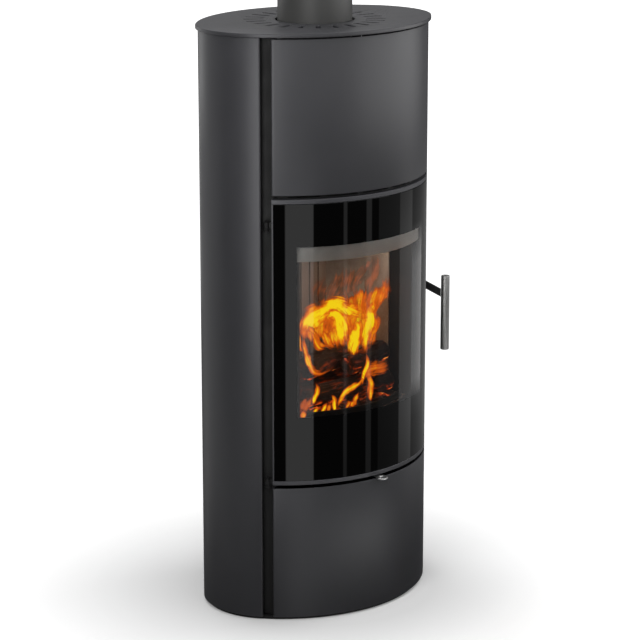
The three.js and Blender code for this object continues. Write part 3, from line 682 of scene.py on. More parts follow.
def flame(core, edge):
    """A tongue of flame: streaked along its length, torn at its sides and faded at its ends."""
    finish = Finish("flame")
    sheet = finish.split(finish.add("ShaderNodeUVMap", uv_map="UVMap").outputs[0])
    strand = finish.add("ShaderNodeUVMap", uv_map="strands").outputs[0]
    level = finish.add("ShaderNodeAttribute", attribute_name="fire_level").outputs["Fac"]
    # How near a point is to the tongue's middle line, which sways, and to its ends
    sway = finish.noise(1, 3, finish.stretch((30, 26, 1), source=strand))
    sway = finish.math("MULTIPLY", finish.math("SUBTRACT", sway, 0.5), 0.9)
    across = finish.math("MULTIPLY_ADD", finish.math("ADD", sheet["X"], sway), 2.0, -1.0)
    side = finish.math("SUBTRACT", 1.0, finish.math("ABSOLUTE", across))
    ends = finish.math("MULTIPLY", finish.spread(sheet["Y"], 0.0, 0.25, smooth=True),
                       finish.spread(sheet["Y"], 1.0, 0.55, smooth=True))
    body = finish.math("MULTIPLY", finish.spread(side, 0.0, 0.85), ends)
    # Streaks along the tongue and wider patches make its heat uneven
    streaks = finish.noise(1, 5, finish.stretch((170, 17, 1), source=strand), distortion=0.7)
    streaks = finish.math("SUBTRACT", streaks, 0.5)
    patches = finish.noise(1, 2, finish.stretch((55, 34, 1), source=strand))
    uneven = finish.math("MULTIPLY_ADD", patches, 0.8, -0.38)
    even = finish.math("MULTIPLY", level, finish.math("MULTIPLY_ADD", body, 0.75, 0.2))
    heat = finish.math("ADD", even, finish.math("MULTIPLY_ADD", streaks, 1.1, uneven))
    colour = finish.ramp(heat, [(0.0, (0.03, 0.006, 0.002)), (0.16, (0.16, 0.03, 0.006)),
                                (0.34, shade(edge, 0.7)), (0.52, edge), (0.68, (0.87, 0.3, 0.006)),
                                (0.85, core)])
    light = finish.add("ShaderNodeEmission", {"Color": colour, "Strength": 1.05}).outputs[0]
    through = finish.add("ShaderNodeBsdfTransparent").outputs[0]
    cover = finish.math("ADD", body, finish.math("MULTIPLY", streaks, 1.3))
    amount = finish.math("MULTIPLY", finish.spread(cover, 0.05, 0.6, smooth=True),
                         finish.spread(level, 0.2, 0.7, 0.25, 0.95))
    finish.show(finish.mix(amount, through, light))


def make_finishes(colours):
    """Every material of the stove, once."""
    satin_paint("satin_paint", colours.paint)
    # A lighter copy of the panel paint: painted light on the door's frame strips
    satin_paint("frame_paint_painted_light", shade(colours.paint, 1.4), 0.38)
    # A darker copy of the panel paint: painted shade on the pane's ground edge
    satin_paint("ground_edge", shade(colours.paint, 0.4), 0.5)
    satin_paint("pipe_paint", colours.pipe, 0.5)
    black_steel("black_steel", colours.black_steel)
    # A darker copy of the black steel: painted shade on the firebox front, where the fire lamps
    # shine close
    black_steel("black_steel_painted_shade", shade(colours.black_steel, 0.4))
    strip_painted_shade(colours.strip)
    cast_iron(colours.cast_iron)
    brushed_steel("brushed_bar", colours.stainless)
    # A brighter copy of the stainless: a painted highlight on the air lever
    brushed_steel("brushed_lever_painted_highlight", shade(colours.stainless, 1.6), (400, 30, 400), 0.3)
    zinc_plate(colours.zinc)
    woven_rope(colours.rope)
    printed_glass(colours.glass_print)
    clear_pane()
    smoked_pane()
    fire_brick("pale_brick", colours.brick, 0.55, 2.9)
    fire_brick("smoked_brick", colours.dark_brick, 0.8)
    charred_bark(colours.bark, colours.ember)
    ember_bed(colours.bark, colours.ember)
    flame(colours.flame_core, colours.flame_edge)


# ---------------------------------------------------------------- operators


class StoveOperator(bpy.types.Operator):
    """Shared ground of the stove's operators."""

    bl_options = {"REGISTER", "UNDO"}

    def execute(self, context):
        self.build(context.scene.stove_sizes)
        return {"FINISHED"}


class STOVE_OT_finishes(StoveOperator):
    """Makes the materials of the stove"""

    bl_idname = "stove.finishes"
    bl_label = "Finishes"

    def build(self, sizes):
        make_finishes(bpy.context.scene.stove_colours)


class STOVE_OT_casing(StoveOperator):
    """Builds the folded side, front and rear panels"""

    bl_idname = "stove.casing"
    bl_label = "Casing panels"

    def build(self, sizes):
        self.sides(sizes)
        self.front(sizes)
        self.rear()

    def sides(self, sizes):
        low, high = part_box("right_side_panel")
        inset = math.degrees(sizes.fold_radius / FRONT_RADIUS)
        front_fold, rear_fold, rear_gap = 8 * MM, 5.3 * MM, 0.115
        end = 180 - (REAR_PANEL_ANGLE + rear_gap) - inset
        path = folded(arc(SIDE_PANEL_ANGLE + inset, end), sizes.fold_radius,
                      (front_fold, rear_fold))
        for side in ("right", "left"):
            skin = panel(f"{side}_side_skin", path, low.z, high.z)
            if side == "left":
                mirror(skin)
            dress(skin, "satin_paint", "casing", "paint", f"{side}_side_panel")

    def front(self, sizes):
        inset = math.degrees(sizes.fold_radius / FRONT_RADIUS)
        fold = 12.8 * MM
        path = folded(arc(inset - DOOR_ANGLE, DOOR_ANGLE - inset), sizes.fold_radius, (fold, fold))
        for level in ("upper", "lower"):
            low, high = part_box(f"{level}_front_panel")
            skin = panel(f"{level}_front_skin", path, low.z, high.z)
            dress(skin, "satin_paint", "casing", "paint", f"{level}_front_panel")

    def rear(self):
        low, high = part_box("rear_panel")
        skin = panel("rear_skin", arc(180 - REAR_PANEL_ANGLE, 180 + REAR_PANEL_ANGLE),
                     low.z, high.z)
        rows, pitch, vent_length, vent_width = 5, 22 * MM, 120 * MM, 8 * MM
        lowest, highest = low.z + 40 * MM, high.z - 50 * MM
        inlet_low, inlet_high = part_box("air_inlet_spigot")
        inlet_z, inlet_hole = (inlet_low.z + inlet_high.z) / 2, 52 * MM
        through = 0.05, 0.21
        vent = slot_outline(vent_length, vent_width, away=-vent_length / 2)
        shapes = [[(x + across, z + up) for across, up in vent]
                  for row in range(rows) for x in (-0.6 * vent_length, 0.6 * vent_length)
                  for z in (highest - row * pitch, lowest + row * pitch)]
        shapes.append([(x, inlet_z + z) for x, z in circle(inlet_hole, 64)])
        cut(skin, [lofted("vent", [[(x, y, z) for x, z in shape] for y in through])
                   for shape in shapes])
        dress(skin, "satin_paint", "casing", "paint", "rear_panel")


class STOVE_OT_top(StoveOperator):
    """Builds the slotted top plate"""

    bl_idname = "stove.top"
    bl_label = "Top plate"

    def build(self, sizes):
        low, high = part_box("top_plate")
        stretch = high.x / HALF_WIDTH, high.y / HALF_DEPTH
        edge, spots = 1.5 * MM, 240

        def ring(inset, z):
            points = []
            for i in range(spots):
                point, normal = surface(i * 360 / spots)
                points.append((point.x * stretch[0] - normal.x * inset,
                               point.y * stretch[1] - normal.y * inset, z))
            return points
        rounding = [(edge * (1 - math.sin(turn)), edge * (1 - math.cos(turn)))
                    for turn in (math.radians(angle) for angle in (0, 30, 60, 90))]
        lower = [ring(inset, low.z + rise) for inset, rise in rounding]
        upper = [ring(inset, high.z - drop) for inset, drop in rounding]
        plate = lofted("top_plate_skin", lower + upper[::-1])
        slots, slot_start, slot_length, slot_width, hole = 24, 102 * MM, 41 * MM, 10 * MM, 80 * MM
        past = 2 * MM
        bottom, top = low.z - past, high.z + past
        tools = [prism("slot", slot_outline(slot_length, slot_width, (i + 0.5) * 2 * math.pi / slots,
                                            slot_start), bottom, top) for i in range(slots)]
        tools.append(turned("hole", [(hole, bottom), (hole, top)]))
        cut(plate, tools)
        soften(plate, 0.5 * MM, 60)
        apply_modifiers(plate)
        dress(plate, "satin_paint", "casing", "paint", "top_plate")


class STOVE_OT_door(StoveOperator):
    """Builds the door's frame, ears, glass, deflector and seal, and finishes its retainers and glass
    tape
    """

    bl_idname = "stove.door"
    bl_label = "Door"

    # How deep the glass is let into the door's frame
    REBATE = 5.5 * MM
    # The pane's materials, in their order on its mesh
    PANE_FINISHES = "printed_glass clear_pane smoked_pane ground_edge"
    PRINTED, CLEAR, SMOKED, GROUND = range(4)

    def build(self, sizes):
        self.frame()
        self.ears()
        self.glass(sizes)
        self.deflector()
        self.seal()
        keep_nodes("satin_paint", "left_glass_retainer", "right_glass_retainer", edge=0.2 * MM)
        keep_nodes("woven_rope", "glass_tape", edge=0.1 * MM)

    def frame(self):
        low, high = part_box("door_frame")
        glass_low, glass_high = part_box("door_glass")
        gap, lip, back = 0.3 * MM, 0.7 * MM, 15.5 * MM
        sill, head = glass_low.z - gap, glass_high.z + gap
        section = [(lip, low.z), (0, low.z + lip), (0, sill - lip), (lip, sill),
                   (self.REBATE, sill), (self.REBATE, head), (lip, head), (0, head + lip),
                   (0, high.z - lip), (lip, high.z), (back - lip, high.z), (back, high.z - lip),
                   (back, low.z + lip), (back - lip, low.z)]
        rows = [[point - normal * depth + Vector((0, 0, height)) for depth, height in section]
                for point, normal in arc(-DOOR_ANGLE, DOOR_ANGLE)]
        body = lofted("door_frame_body", rows)
        opening, bottom, top, corner = 36, 412 * MM, 790 * MM, 2 * MM
        tool = swept("opening", arc(-opening, opening),
                     rounded_section(3 * MM, 30 * MM, bottom, top, corner), 1 * MM)
        cut(body, [tool])
        dress(body, "frame_paint_painted_light", "door", "paint", "door_frame")

    def ears(self):
        """The two eyes of the door that turn on the hinge pins."""
        low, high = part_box("door_frame")
        axis = place(-PIVOT_ANGLE, 6 * MM, 0)
        tall, upper_drop, thick = 12 * MM, 57.6 * MM, 4 * MM
        eye = [(3.8, 0), (5.6, 0), (6, 0.4), (6, 11.6), (5.6, 12), (3.8, 12)]
        parts = []
        for bottom in (low.z, high.z - upper_drop):
            parts.append(turned("eye", [(r * MM, bottom + z * MM) for r, z in eye], axis[:2], 40,
                                closed=True))
            parts.append(swept("web", arc(-PIVOT_ANGLE + 0.95, -DOOR_ANGLE + 0.9, self.REBATE, 0.5),
                               rounded_section(0, thick, bottom, bottom + tall, 0.4 * MM),
                               0.2 * MM))
        dress(joined(parts, "door_hinge_ears"), "black_steel", "door", "paint")

    def glass(self, sizes):
        low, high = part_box("door_glass")
        thick, lip, side_gap, steps, too_near, hair = 4 * MM, 0.5 * MM, 0.61, 40, 0.3, 0.006
        half = DOOR_ANGLE - side_gap
        window = math.degrees(sizes.window_angle)
        turns = [half * i / steps for i in range(-steps, steps + 1)]
        turns = sorted([turn for turn in turns if abs(abs(turn) - window) > too_near]
                       + [-window, window])
        levels = [low.z + lip, sizes.window_bottom, sizes.window_top, high.z - lip]
        rows = []
        for turn in turns:
            outer = [place(turn, 0, z) for z in levels]
            inner = [place(turn, thick, z) for z in levels[::-1]]
            rows.append([place(turn, lip, low.z), *outer, place(turn, lip, high.z),
                         place(turn, thick - lip, high.z), *inner, place(turn, thick - lip, low.z)])
        pane = lofted("door_pane", rows)
        slots = []
        for face in pane.data.polygons:
            away = Vector((face.center.x, FRONT_CENTRE_Y - face.center.y))
            turn = abs(math.degrees(math.atan2(away.x, away.y)))
            outer = FRONT_RADIUS - away.length < thick / 2
            if turn > half - hair:
                slots.append(self.GROUND)
            elif turn < window and sizes.window_bottom < face.center.z < sizes.window_top:
                slots.append(self.CLEAR if outer else self.SMOKED)
            else:
                slots.append(self.PRINTED)
        dress(pane, self.PANE_FINISHES, "door", "glass", "door_glass")
        pane.data.polygons.foreach_set("material_index", slots)

    def deflector(self):
        low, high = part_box("air_wash_deflector")
        half, depth, thick = 35.7, 10.5 * MM, 1.5 * MM
        strip = panel("air_wash_strip", arc(-half, half, depth), low.z, high.z, thick)
        dress(strip, "strip_painted_shade", "door", "bright_steel", "air_wash_deflector")

    def seal(self):
        low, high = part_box("door_seal")
        reach, half, depth, corner, pitch = 4.5 * MM, 40, 17.75 * MM, 8 * MM, 4 * MM
        half -= math.degrees(reach / FRONT_RADIUS)
        bottom, top = low.z + reach, high.z - reach
        turn = math.degrees(corner / FRONT_RADIUS)
        spots = []
        for angle, height, start in ((half, bottom, 270), (half, top, 0), (-half, top, 90),
                                     (-half, bottom, 180)):
            side, lift = (1 if angle > 0 else -1), (1 if height == bottom else -1)
            for i in range(7):
                bend = math.radians(start + 15 * i)
                spots.append((angle - side * turn + turn * math.cos(bend),
                              height + lift * corner + corner * math.sin(bend)))
        points = []
        for (angle, z), (next_angle, next_z) in zip(spots, spots[1:] + spots[:1]):
            length = math.hypot(math.radians(next_angle - angle) * FRONT_RADIUS, next_z - z)
            count = max(1, round(length / pitch))
            points += [place(angle + (next_angle - angle) * i / count, depth,
                             z + (next_z - z) * i / count) for i in range(count)]
        thick, flattened = 4.4 * MM, 0.43
        rope = closed_tube("door_rope", points, thick, flattened, up=lambda point: Vector(
            (point.x, point.y - FRONT_CENTRE_Y, 0)).normalized())
        dress(rope, "woven_rope", "door", "rope", "door_seal")


class STOVE_OT_hinges(StoveOperator):
    """Finishes the hinges, latch rod, guides, fingers and keepers"""

    bl_idname = "stove.hinges"
    bl_label = "Hinges and latch"

    def build(self, sizes):
        for level in ("lower", "upper"):
            keep_nodes("black_steel", f"{level}_hinge_bracket", f"{level}_latch_guide",
                       f"{level}_hinge_pin")
            keep_nodes("zinc_plate", f"{level}_latch_finger", f"{level}_keeper")
        keep_nodes("zinc_plate", "latch_rod")


class STOVE_OT_handle(StoveOperator):
    """Builds the handle's arm and its upright bar"""

    bl_idname = "stove.handle"
    bl_label = "Handle"

    BAR_RADIUS = 9 * MM

    def build(self, sizes):
        low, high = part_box("handle_bar")
        middle = (low + high) / 2
        self.bar(middle, low.z, high.z)
        self.arm(middle)

    def bar(self, middle, bottom, top):
        # The bar's rounded end: radius, and how far inside the end, in millimetres
        end = [(1, 0), (7.6, 0), (8.4, 0.25), (8.8, 0.7), (self.BAR_RADIUS / MM, 1.4)]
        profile = [(r * MM, bottom + z * MM) for r, z in end]
        profile += [(r * MM, top - z * MM) for r, z in end[::-1]]
        bar = turned("handle_grip", profile, middle[:2], 64)
        dress(bar, "brushed_bar", "handle", "stainless", "handle_bar")
        bar.visible_glossy = False

    def arm(self, middle):
        """A flat bar that climbs from a hub on the latch rod to the upright bar."""
        rod_low, rod_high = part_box("latch_rod")
        axis = (rod_low + rod_high) / 2
        hub_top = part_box("handle_arm")[1].z
        along = Vector((middle.x - axis.x, middle.y - axis.y, 0))
        reach = along.length
        along.normalize()
        half_thick, tall, steps = 4 * MM, 16 * MM, 12
        across = Vector((-along.y, along.x, 0)) * half_thick
        half = tall / 2
        root, tip = hub_top - 3 * MM - half, middle.z + 37 * MM
        start, end = 7.1 * MM, reach - self.BAR_RADIUS - 0.3 * MM
        section = ((-0.8, -1), (0.8, -1), (1, -0.9), (1, 0.9), (0.8, 1), (-0.8, 1), (-1, 0.9),
                   (-1, -0.9))
        rows = []
        for i in range(steps + 1):
            away = start + (end - start) * i / steps
            spot = Vector((axis.x, axis.y, root + (tip - root) * away / reach)) + along * away
            rows.append([spot + across * side + Vector((0, 0, up * half)) for side, up in section])
        arm = lofted("handle_arm_flat", rows)
        inner, outer, lip = 4.8 * MM, 7.4 * MM, 0.5 * MM
        bottom = hub_top - 22 * MM
        hub = turned("hub", [(inner, bottom), (outer - lip, bottom), (outer, bottom + lip),
                             (outer, hub_top - lip), (outer - lip, hub_top), (inner, hub_top)],
                     axis[:2], 40, closed=True)
        whole = joined([arm, hub], "handle_arm_body")
        dress(whole, "black_steel", "handle", "inner_steel", "handle_arm")
        whole.visible_glossy = False


class STOVE_OT_air(StoveOperator):
    """Builds the air lever and the inlet, and finishes the rest of the air supply"""

    bl_idname = "stove.air"
    bl_label = "Air supply"

    # The inlet's wall, from its flange to its open end: radius and length, in millimetres
    SPIGOT = [(47, 0), (60, 0), (60, 2.7), (50.6, 2.7), (50, 3.4), (50, 60), (51.2, 61.5),
              (51.2, 63), (50, 64.5), (50, 84), (49.4, 84.7), (47.6, 84.7), (47, 84)]

    def build(self, sizes):
        self.lever()
        self.inlet()
        keep_nodes("zinc_plate", "air_damper", "air_rod")
        keep_nodes("black_steel", "air_box", "air_port_plate")

    def lever(self):
        low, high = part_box("air_lever")
        middle = (low.x + high.x) / 2
        ring, hole, stem, past = 12.5 * MM, 5.5 * MM, 8 * MM, 1 * MM
        centre = low.y + ring
        neck = round(math.degrees(math.asin(stem / ring)))
        outline = [(middle + ring * math.sin(math.radians(angle)),
                    centre - ring * math.cos(math.radians(angle)))
                   for angle in range(-180 + neck, 181 - neck, 5)]
        tab = prism("air_tab", [(middle - stem, high.y), *outline, (middle + stem, high.y)],
                    low.z, high.z)
        cut(tab, [turned("hole", [(hole, low.z - past), (hole, high.z + past)],
                         (middle, centre), 48)])
        soften(tab, 0.6 * MM, 50, 3)
        apply_modifiers(tab)
        dress(tab, "brushed_lever_painted_highlight", "air_control", "stainless", "air_lever")

    def inlet(self):
        low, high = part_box("air_inlet_spigot")
        spigot = turned("air_spigot", [(r * MM, z * MM) for r, z in self.SPIGOT], steps=72,
                        closed=True)
        spigot.data.transform(Matrix.Translation((0, low.y, (low.z + high.z) / 2))
                              @ Matrix.Rotation(math.radians(-90), 4, "X"))
        dress(spigot, "black_steel", "casing", "inner_steel", "air_inlet_spigot")


class STOVE_OT_structure(StoveOperator):
    """Builds the foot's ledge and the log guard, and finishes the rest of the steel and iron"""

    bl_idname = "stove.structure"
    bl_label = "Steel structure"

    def build(self, sizes):
        keep_nodes("black_steel", "base_plate", "left_post", "right_post", "air_slot_strip",
                   "front_stand", "rear_stand", "firebox_shell", "grate_ledge", "upper_baffle",
                   "flue_collar")
        # The firebox front takes the darker copy of the black steel: painted shade
        keep_nodes("black_steel_painted_shade", "firebox_front")
        keep_nodes("zinc_plate", "ash_pan")
        keep_nodes("cast_iron", "grate", edge=1.2 * MM)
        self.ledge()
        self.guard()

    def ledge(self):
        """A ring inside the panels that closes the slot round the inset base plate."""
        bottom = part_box("lower_front_panel")[0].z
        section = rounded_section(2.6 * MM, 14 * MM, bottom + 0.1 * MM, bottom + 1.6 * MM, 0.3 * MM)
        ledge = swept("base_ledge", arc(-179.9, 179.9, 0, 1.5), section, 0.2 * MM)
        dress(ledge, "black_steel", "casing", "inner_steel")

    def guard(self):
        low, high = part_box("log_guard")
        half, depth, thick, edge = 32, 40 * MM, 5 * MM, 1.2 * MM
        guard = swept("log_guard_bar", arc(-half, half, depth),
                      rounded_section(0, thick, low.z, high.z, edge), edge)
        dress(guard, "cast_iron", "casing", "cast_iron", "log_guard")


class STOVE_OT_flue(StoveOperator):
    """Builds the flue pipe"""

    bl_idname = "stove.flue"
    bl_label = "Flue pipe"

    def build(self, sizes):
        low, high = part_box("flue_pipe")
        outer, wall, lip, band = high.x, 2 * MM, 0.8 * MM, 12 * MM
        profile = [(outer - wall + lip, low.z), (outer - lip, low.z), (outer, low.z + lip),
                   (outer, high.z - band), (outer, high.z - lip), (outer - lip, high.z),
                   (outer - wall + lip, high.z), (outer - wall, high.z - lip),
                   (outer - wall, low.z + lip)]
        pipe = turned("flue_pipe_skin", profile, steps=128, closed=True)
        dress(pipe, "pipe_paint", "casing", "pipe", "flue_pipe")


class STOVE_OT_lining(StoveOperator):
    """Finishes the bricks and the baffle that line the firebox"""

    bl_idname = "stove.lining"
    bl_label = "Brick lining"

    def build(self, sizes):
        keep_nodes("pale_brick", "left_side_brick", "right_side_brick", "left_corner_brick",
                   "right_corner_brick", "lower_baffle", edge=1.2 * MM)
        keep_nodes("smoked_brick", "floor_brick", "rear_brick", edge=1.2 * MM)


class STOVE_OT_logs(StoveOperator):
    """Builds the firewood and the ember bed"""

    bl_idname = "stove.logs"
    bl_label = "Firewood"

    # Each log's two ends and its radius, in millimetres
    LOGS = {
        "front_log": ((-100, -72, 438), (138, -72, 438), 25),
        "rear_log": ((-118, 15, 438), (118, 15, 438), 25),
        "left_log": ((-88, -70, 500), (70, -5, 489), 26),
        "right_log": ((20, -80, 490), (132, -62, 500), 24),
    }

    def build(self, sizes):
        for number, (name, (start, end, radius)) in enumerate(self.LOGS.items()):
            start, end = Vector(start) * MM, Vector(end) * MM
            log = self.log(f"{name}_wood", start, end, radius * MM, sizes.bark_depth, number * 7.3)
            self.grain(log, start, (end - start).normalized(), number)
            dress(log, "charred_bark", "casing", "bark", name)
        self.embers(sizes)

    def grain(self, log, start, along, number):
        """Records each point's place along and round the log, for the bark to follow."""
        side = along.cross(Vector((0, 0, 1))).normalized()
        over = side.cross(along)
        grain = log.data.attributes.new("grain", "FLOAT_VECTOR", "POINT")
        for point, spot in zip(log.data.vertices, grain.data):
            away = point.co - start
            spot.vector = (away.dot(along) + number, away.dot(side), away.dot(over))

    def log(self, name, start, end, radius, bark_depth, seed):
        """A split-free log: ridged bark, and ends that round off in a few rings."""
        along = end - start
        side = along.cross(Vector((0, 0, 1))).normalized()
        over = side.cross(along).normalized()
        around, lengths, end_rings = 72, 64, 4
        rows = []
        for i in range(-end_rings, lengths + end_rings + 1):
            past = max(0, -i, i - lengths)
            share = min(max(i / lengths, 0), 1)
            shrink = 1 - 0.23 * past
            taper = 0.9 + 0.1 * min(1, share / 0.04, (1 - share) / 0.04)
            row = []
            for j in range(around):
                turn = 2 * math.pi * j / around
                cosine, sine = math.cos(turn), math.sin(turn)
                form = noise.noise(Vector((cosine * 2.2, sine * 2.2, share * 3 + seed)))
                ridges = noise.fractal(Vector((cosine * 7, sine * 7, share * 4 + seed)), 0.8, 2.2, 4)
                r = radius * (0.93 + 0.06 * form) + bark_depth * 0.45 * (ridges - 0.3)
                r = min(r, radius) * taper * shrink
                slide = 0
                if past:
                    inward = (1 - shrink) * 1.5 * MM
                    slide = inward if i < 0 else -inward
                    slide += 0.8 * MM * noise.noise(Vector((r * 900, turn * 3, seed)))
                point = start + along * share + along.normalized() * slide
                row.append(point + (side * cosine + over * sine) * r)
            rows.append(row)
        return lofted(name, rows, sharp=60)

    def embers(self, sizes):
        """A lumpy bed over the grate that runs down to the floor brick at its borders."""
        low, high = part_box("grate")
        columns, lines = 96, 72
        left, right = low.x - 22 * MM, high.x + 22 * MM
        front, rear = low.y - 72 * MM, high.y + 2 * MM
        underside, least, base = (BED_HEIGHT + lift for lift in (0.2 * MM, 0.4 * MM, 0.6 * MM))
        rows = []
        for i in range(lines + 1):
            v = i / lines
            y = front + (rear - front) * v
            top, under = [], []
            for j in range(columns + 1):
                u = j / columns
                x = left + (right - left) * u
                border = min(1, 9 * min(u, 1 - u, v, 1 - v))
                lumps = noise.fractal(Vector((x * 48, y * 48, 3)), 0.9, 2, 4)
                chunks = max(0, noise.noise(Vector((x * 95, y * 95, 8))))
                rise = border * sizes.ember_depth * (0.42 + 0.35 * lumps + 0.55 * chunks)
                top.append((x, y, max(least, base + rise)))
                under.append((x, y, underside))
            rows.append(top + under[::-1])
        dress(lofted("ember_bed", rows, sharp=70), "ember_bed", "casing", "bark")


class STOVE_OT_flames(StoveOperator):
    """Builds the flames over the firewood"""

    bl_idname = "stove.flames"
    bl_label = "Flames"

    # Groups of flames: heat and depth, then for each flame where it starts, where it ends, how far
    # it bows to its left and its width, in millimetres across and above the fire bed
    GROUPS = (
        (0.68, -50, ((-35, 132, -30, 225, 0, 84), (22, 108, 26, 232, 0, 84),
                     (72, 104, 76, 224, 0, 64))),
        (1.0, -80, ((-90, 172, 85, 176, 32, 46), (66, 200, 62, 92, 10, 52),
                    (-60, 200, 18, 106, 28, 42), (38, 176, 34, 88, 8, 36),
                    (-92, 164, -24, 210, 10, 56))),
        (0.7, -62, ((84, 156, 144, 254, -10, 32), (98, 118, 112, 170, -10, 16))),
        (0.66, -95, ((-104, 190, -36, 134, -12, 18), (-94, 174, -50, 128, -8, 16),
                     (-64, 170, -20, 126, -8, 16))),
        (0.72, -105, ((-124, 170, -26, 94, -42, 15), (-116, 150, -75, 98, -18, 10),
                      (-134, 182, -112, 134, -10, 9))),
        (0.8, -115, ((-40, -2, 44, 70, 8, 13), (54, -4, 28, 70, -12, 14),
                     (30, 40, 36, 114, -6, 12))),
        (0.62, -112, ((28, 54, 112, 78, 5, 36),)),
        (0.85, -128, ((-115, 28, -109, 78, -7, 12), (-57, 2, -71, 46, -8, 11))),
        (0.5, -125, ((-132, 16, -118, 48, 4, 24),)),
    )
    # Rows of like flames: heat and depth, how many, from and to, start height, reach and width
    ROWS = (
        (0.62, -62, 7, -66, 103, 176, 48, 36),
        (0.22, -50, 5, -25, 108, 205, 90, 44),
        (0.68, -126, 8, -132, 8, 4, 26, 11),
    )

    def build(self, sizes):
        chance = random.Random(4)
        heading = bpy.context.scene.studio_settings.heading
        flames = [(heat, depth, *flame) for heat, depth, group in self.GROUPS for flame in group]
        for row in self.ROWS:
            flames += self.row(chance, *row)
        for number, (heat, depth, x, z, tip_x, tip_z, bow, width) in enumerate(flames):
            facing = heading + chance.uniform(-0.35, 0.35)
            front = Vector((-math.sin(facing), -math.cos(facing), 0))
            root = Vector((x, depth, z * sizes.flame_height)) * MM
            tip = Vector((tip_x, depth, tip_z * sizes.flame_height)) * MM
            path = self.curve(root, tip, bow * MM)
            piece = self.tongue(f"flame_{number:02d}", path, width * MM, front, number)
            fire_level = piece.data.attributes.new("fire_level", "FLOAT", "POINT")
            fire_level.data.foreach_set("value", [heat] * len(piece.data.vertices))
            dress(piece, "flame", "casing", "bark")

    def row(self, chance, heat, depth, count, start, end, height, reach, width):
        """Like flames side by side, each a little different."""
        for i in range(count):
            x = start + (end - start) * i / (count - 1) + chance.uniform(-6, 6)
            tip_x = x + reach * chance.uniform(-0.1, 0.5)
            tip_height = height + reach * chance.uniform(0.6, 1.3)
            yield (heat * chance.uniform(0.85, 1.1), depth, x, height, tip_x, tip_height,
                   reach * chance.uniform(-0.25, 0.25), width * chance.uniform(0.7, 1.3))

    def curve(self, root, tip, bow, steps=36):
        """A path over the fire bed that bows to its left and sways a little on its way."""
        away = tip - root
        left = Vector((-away.z, 0, away.x)).normalized()
        sway = 0.06 * away.length
        base = Vector((0, 0, BED_HEIGHT))
        return [base + root + away * t + left * (bow * math.sin(math.pi * t)
                                                 + sway * math.sin(2 * math.pi * t))
                for t in (i / steps for i in range(steps + 1))]

    def tongue(self, name, path, width, front, number):
        """A sheet that bulges to the front, widest halfway, with two maps of places on it."""
        columns = 12
        rows, spots, strands = [], [], []
        length = 0.0
        for i, point in enumerate(path):
            v = i / (len(path) - 1)
            before, after = path[max(i - 1, 0)], path[min(i + 1, len(path) - 1)]
            across = (after - before).normalized().cross(front).normalized()
            spread = width * (0.4 + 0.7 * math.sin(math.pi * v))
            if i:
                length += (point - before).length
            row = []
            for j in range(columns + 1):
                u = j / columns
                offset = (u - 0.5) * spread
                belly = width * 0.18 * math.cos(math.pi * (u - 0.5))
                row.append(point + across * offset + front * belly)
                spots.append((u, v))
                strands.append((offset + number, length + number * 1.7))
            rows.append(row)
        piece = lofted(name, rows, wrap=False, caps=False, sharp=180)
        for layer_name, places in (("UVMap", spots), ("strands", strands)):
            layer = piece.data.uv_layers.new(name=layer_name)
            for loop in piece.data.loops:
                layer.data[loop.index].uv = places[loop.vertex_index]
        return piece


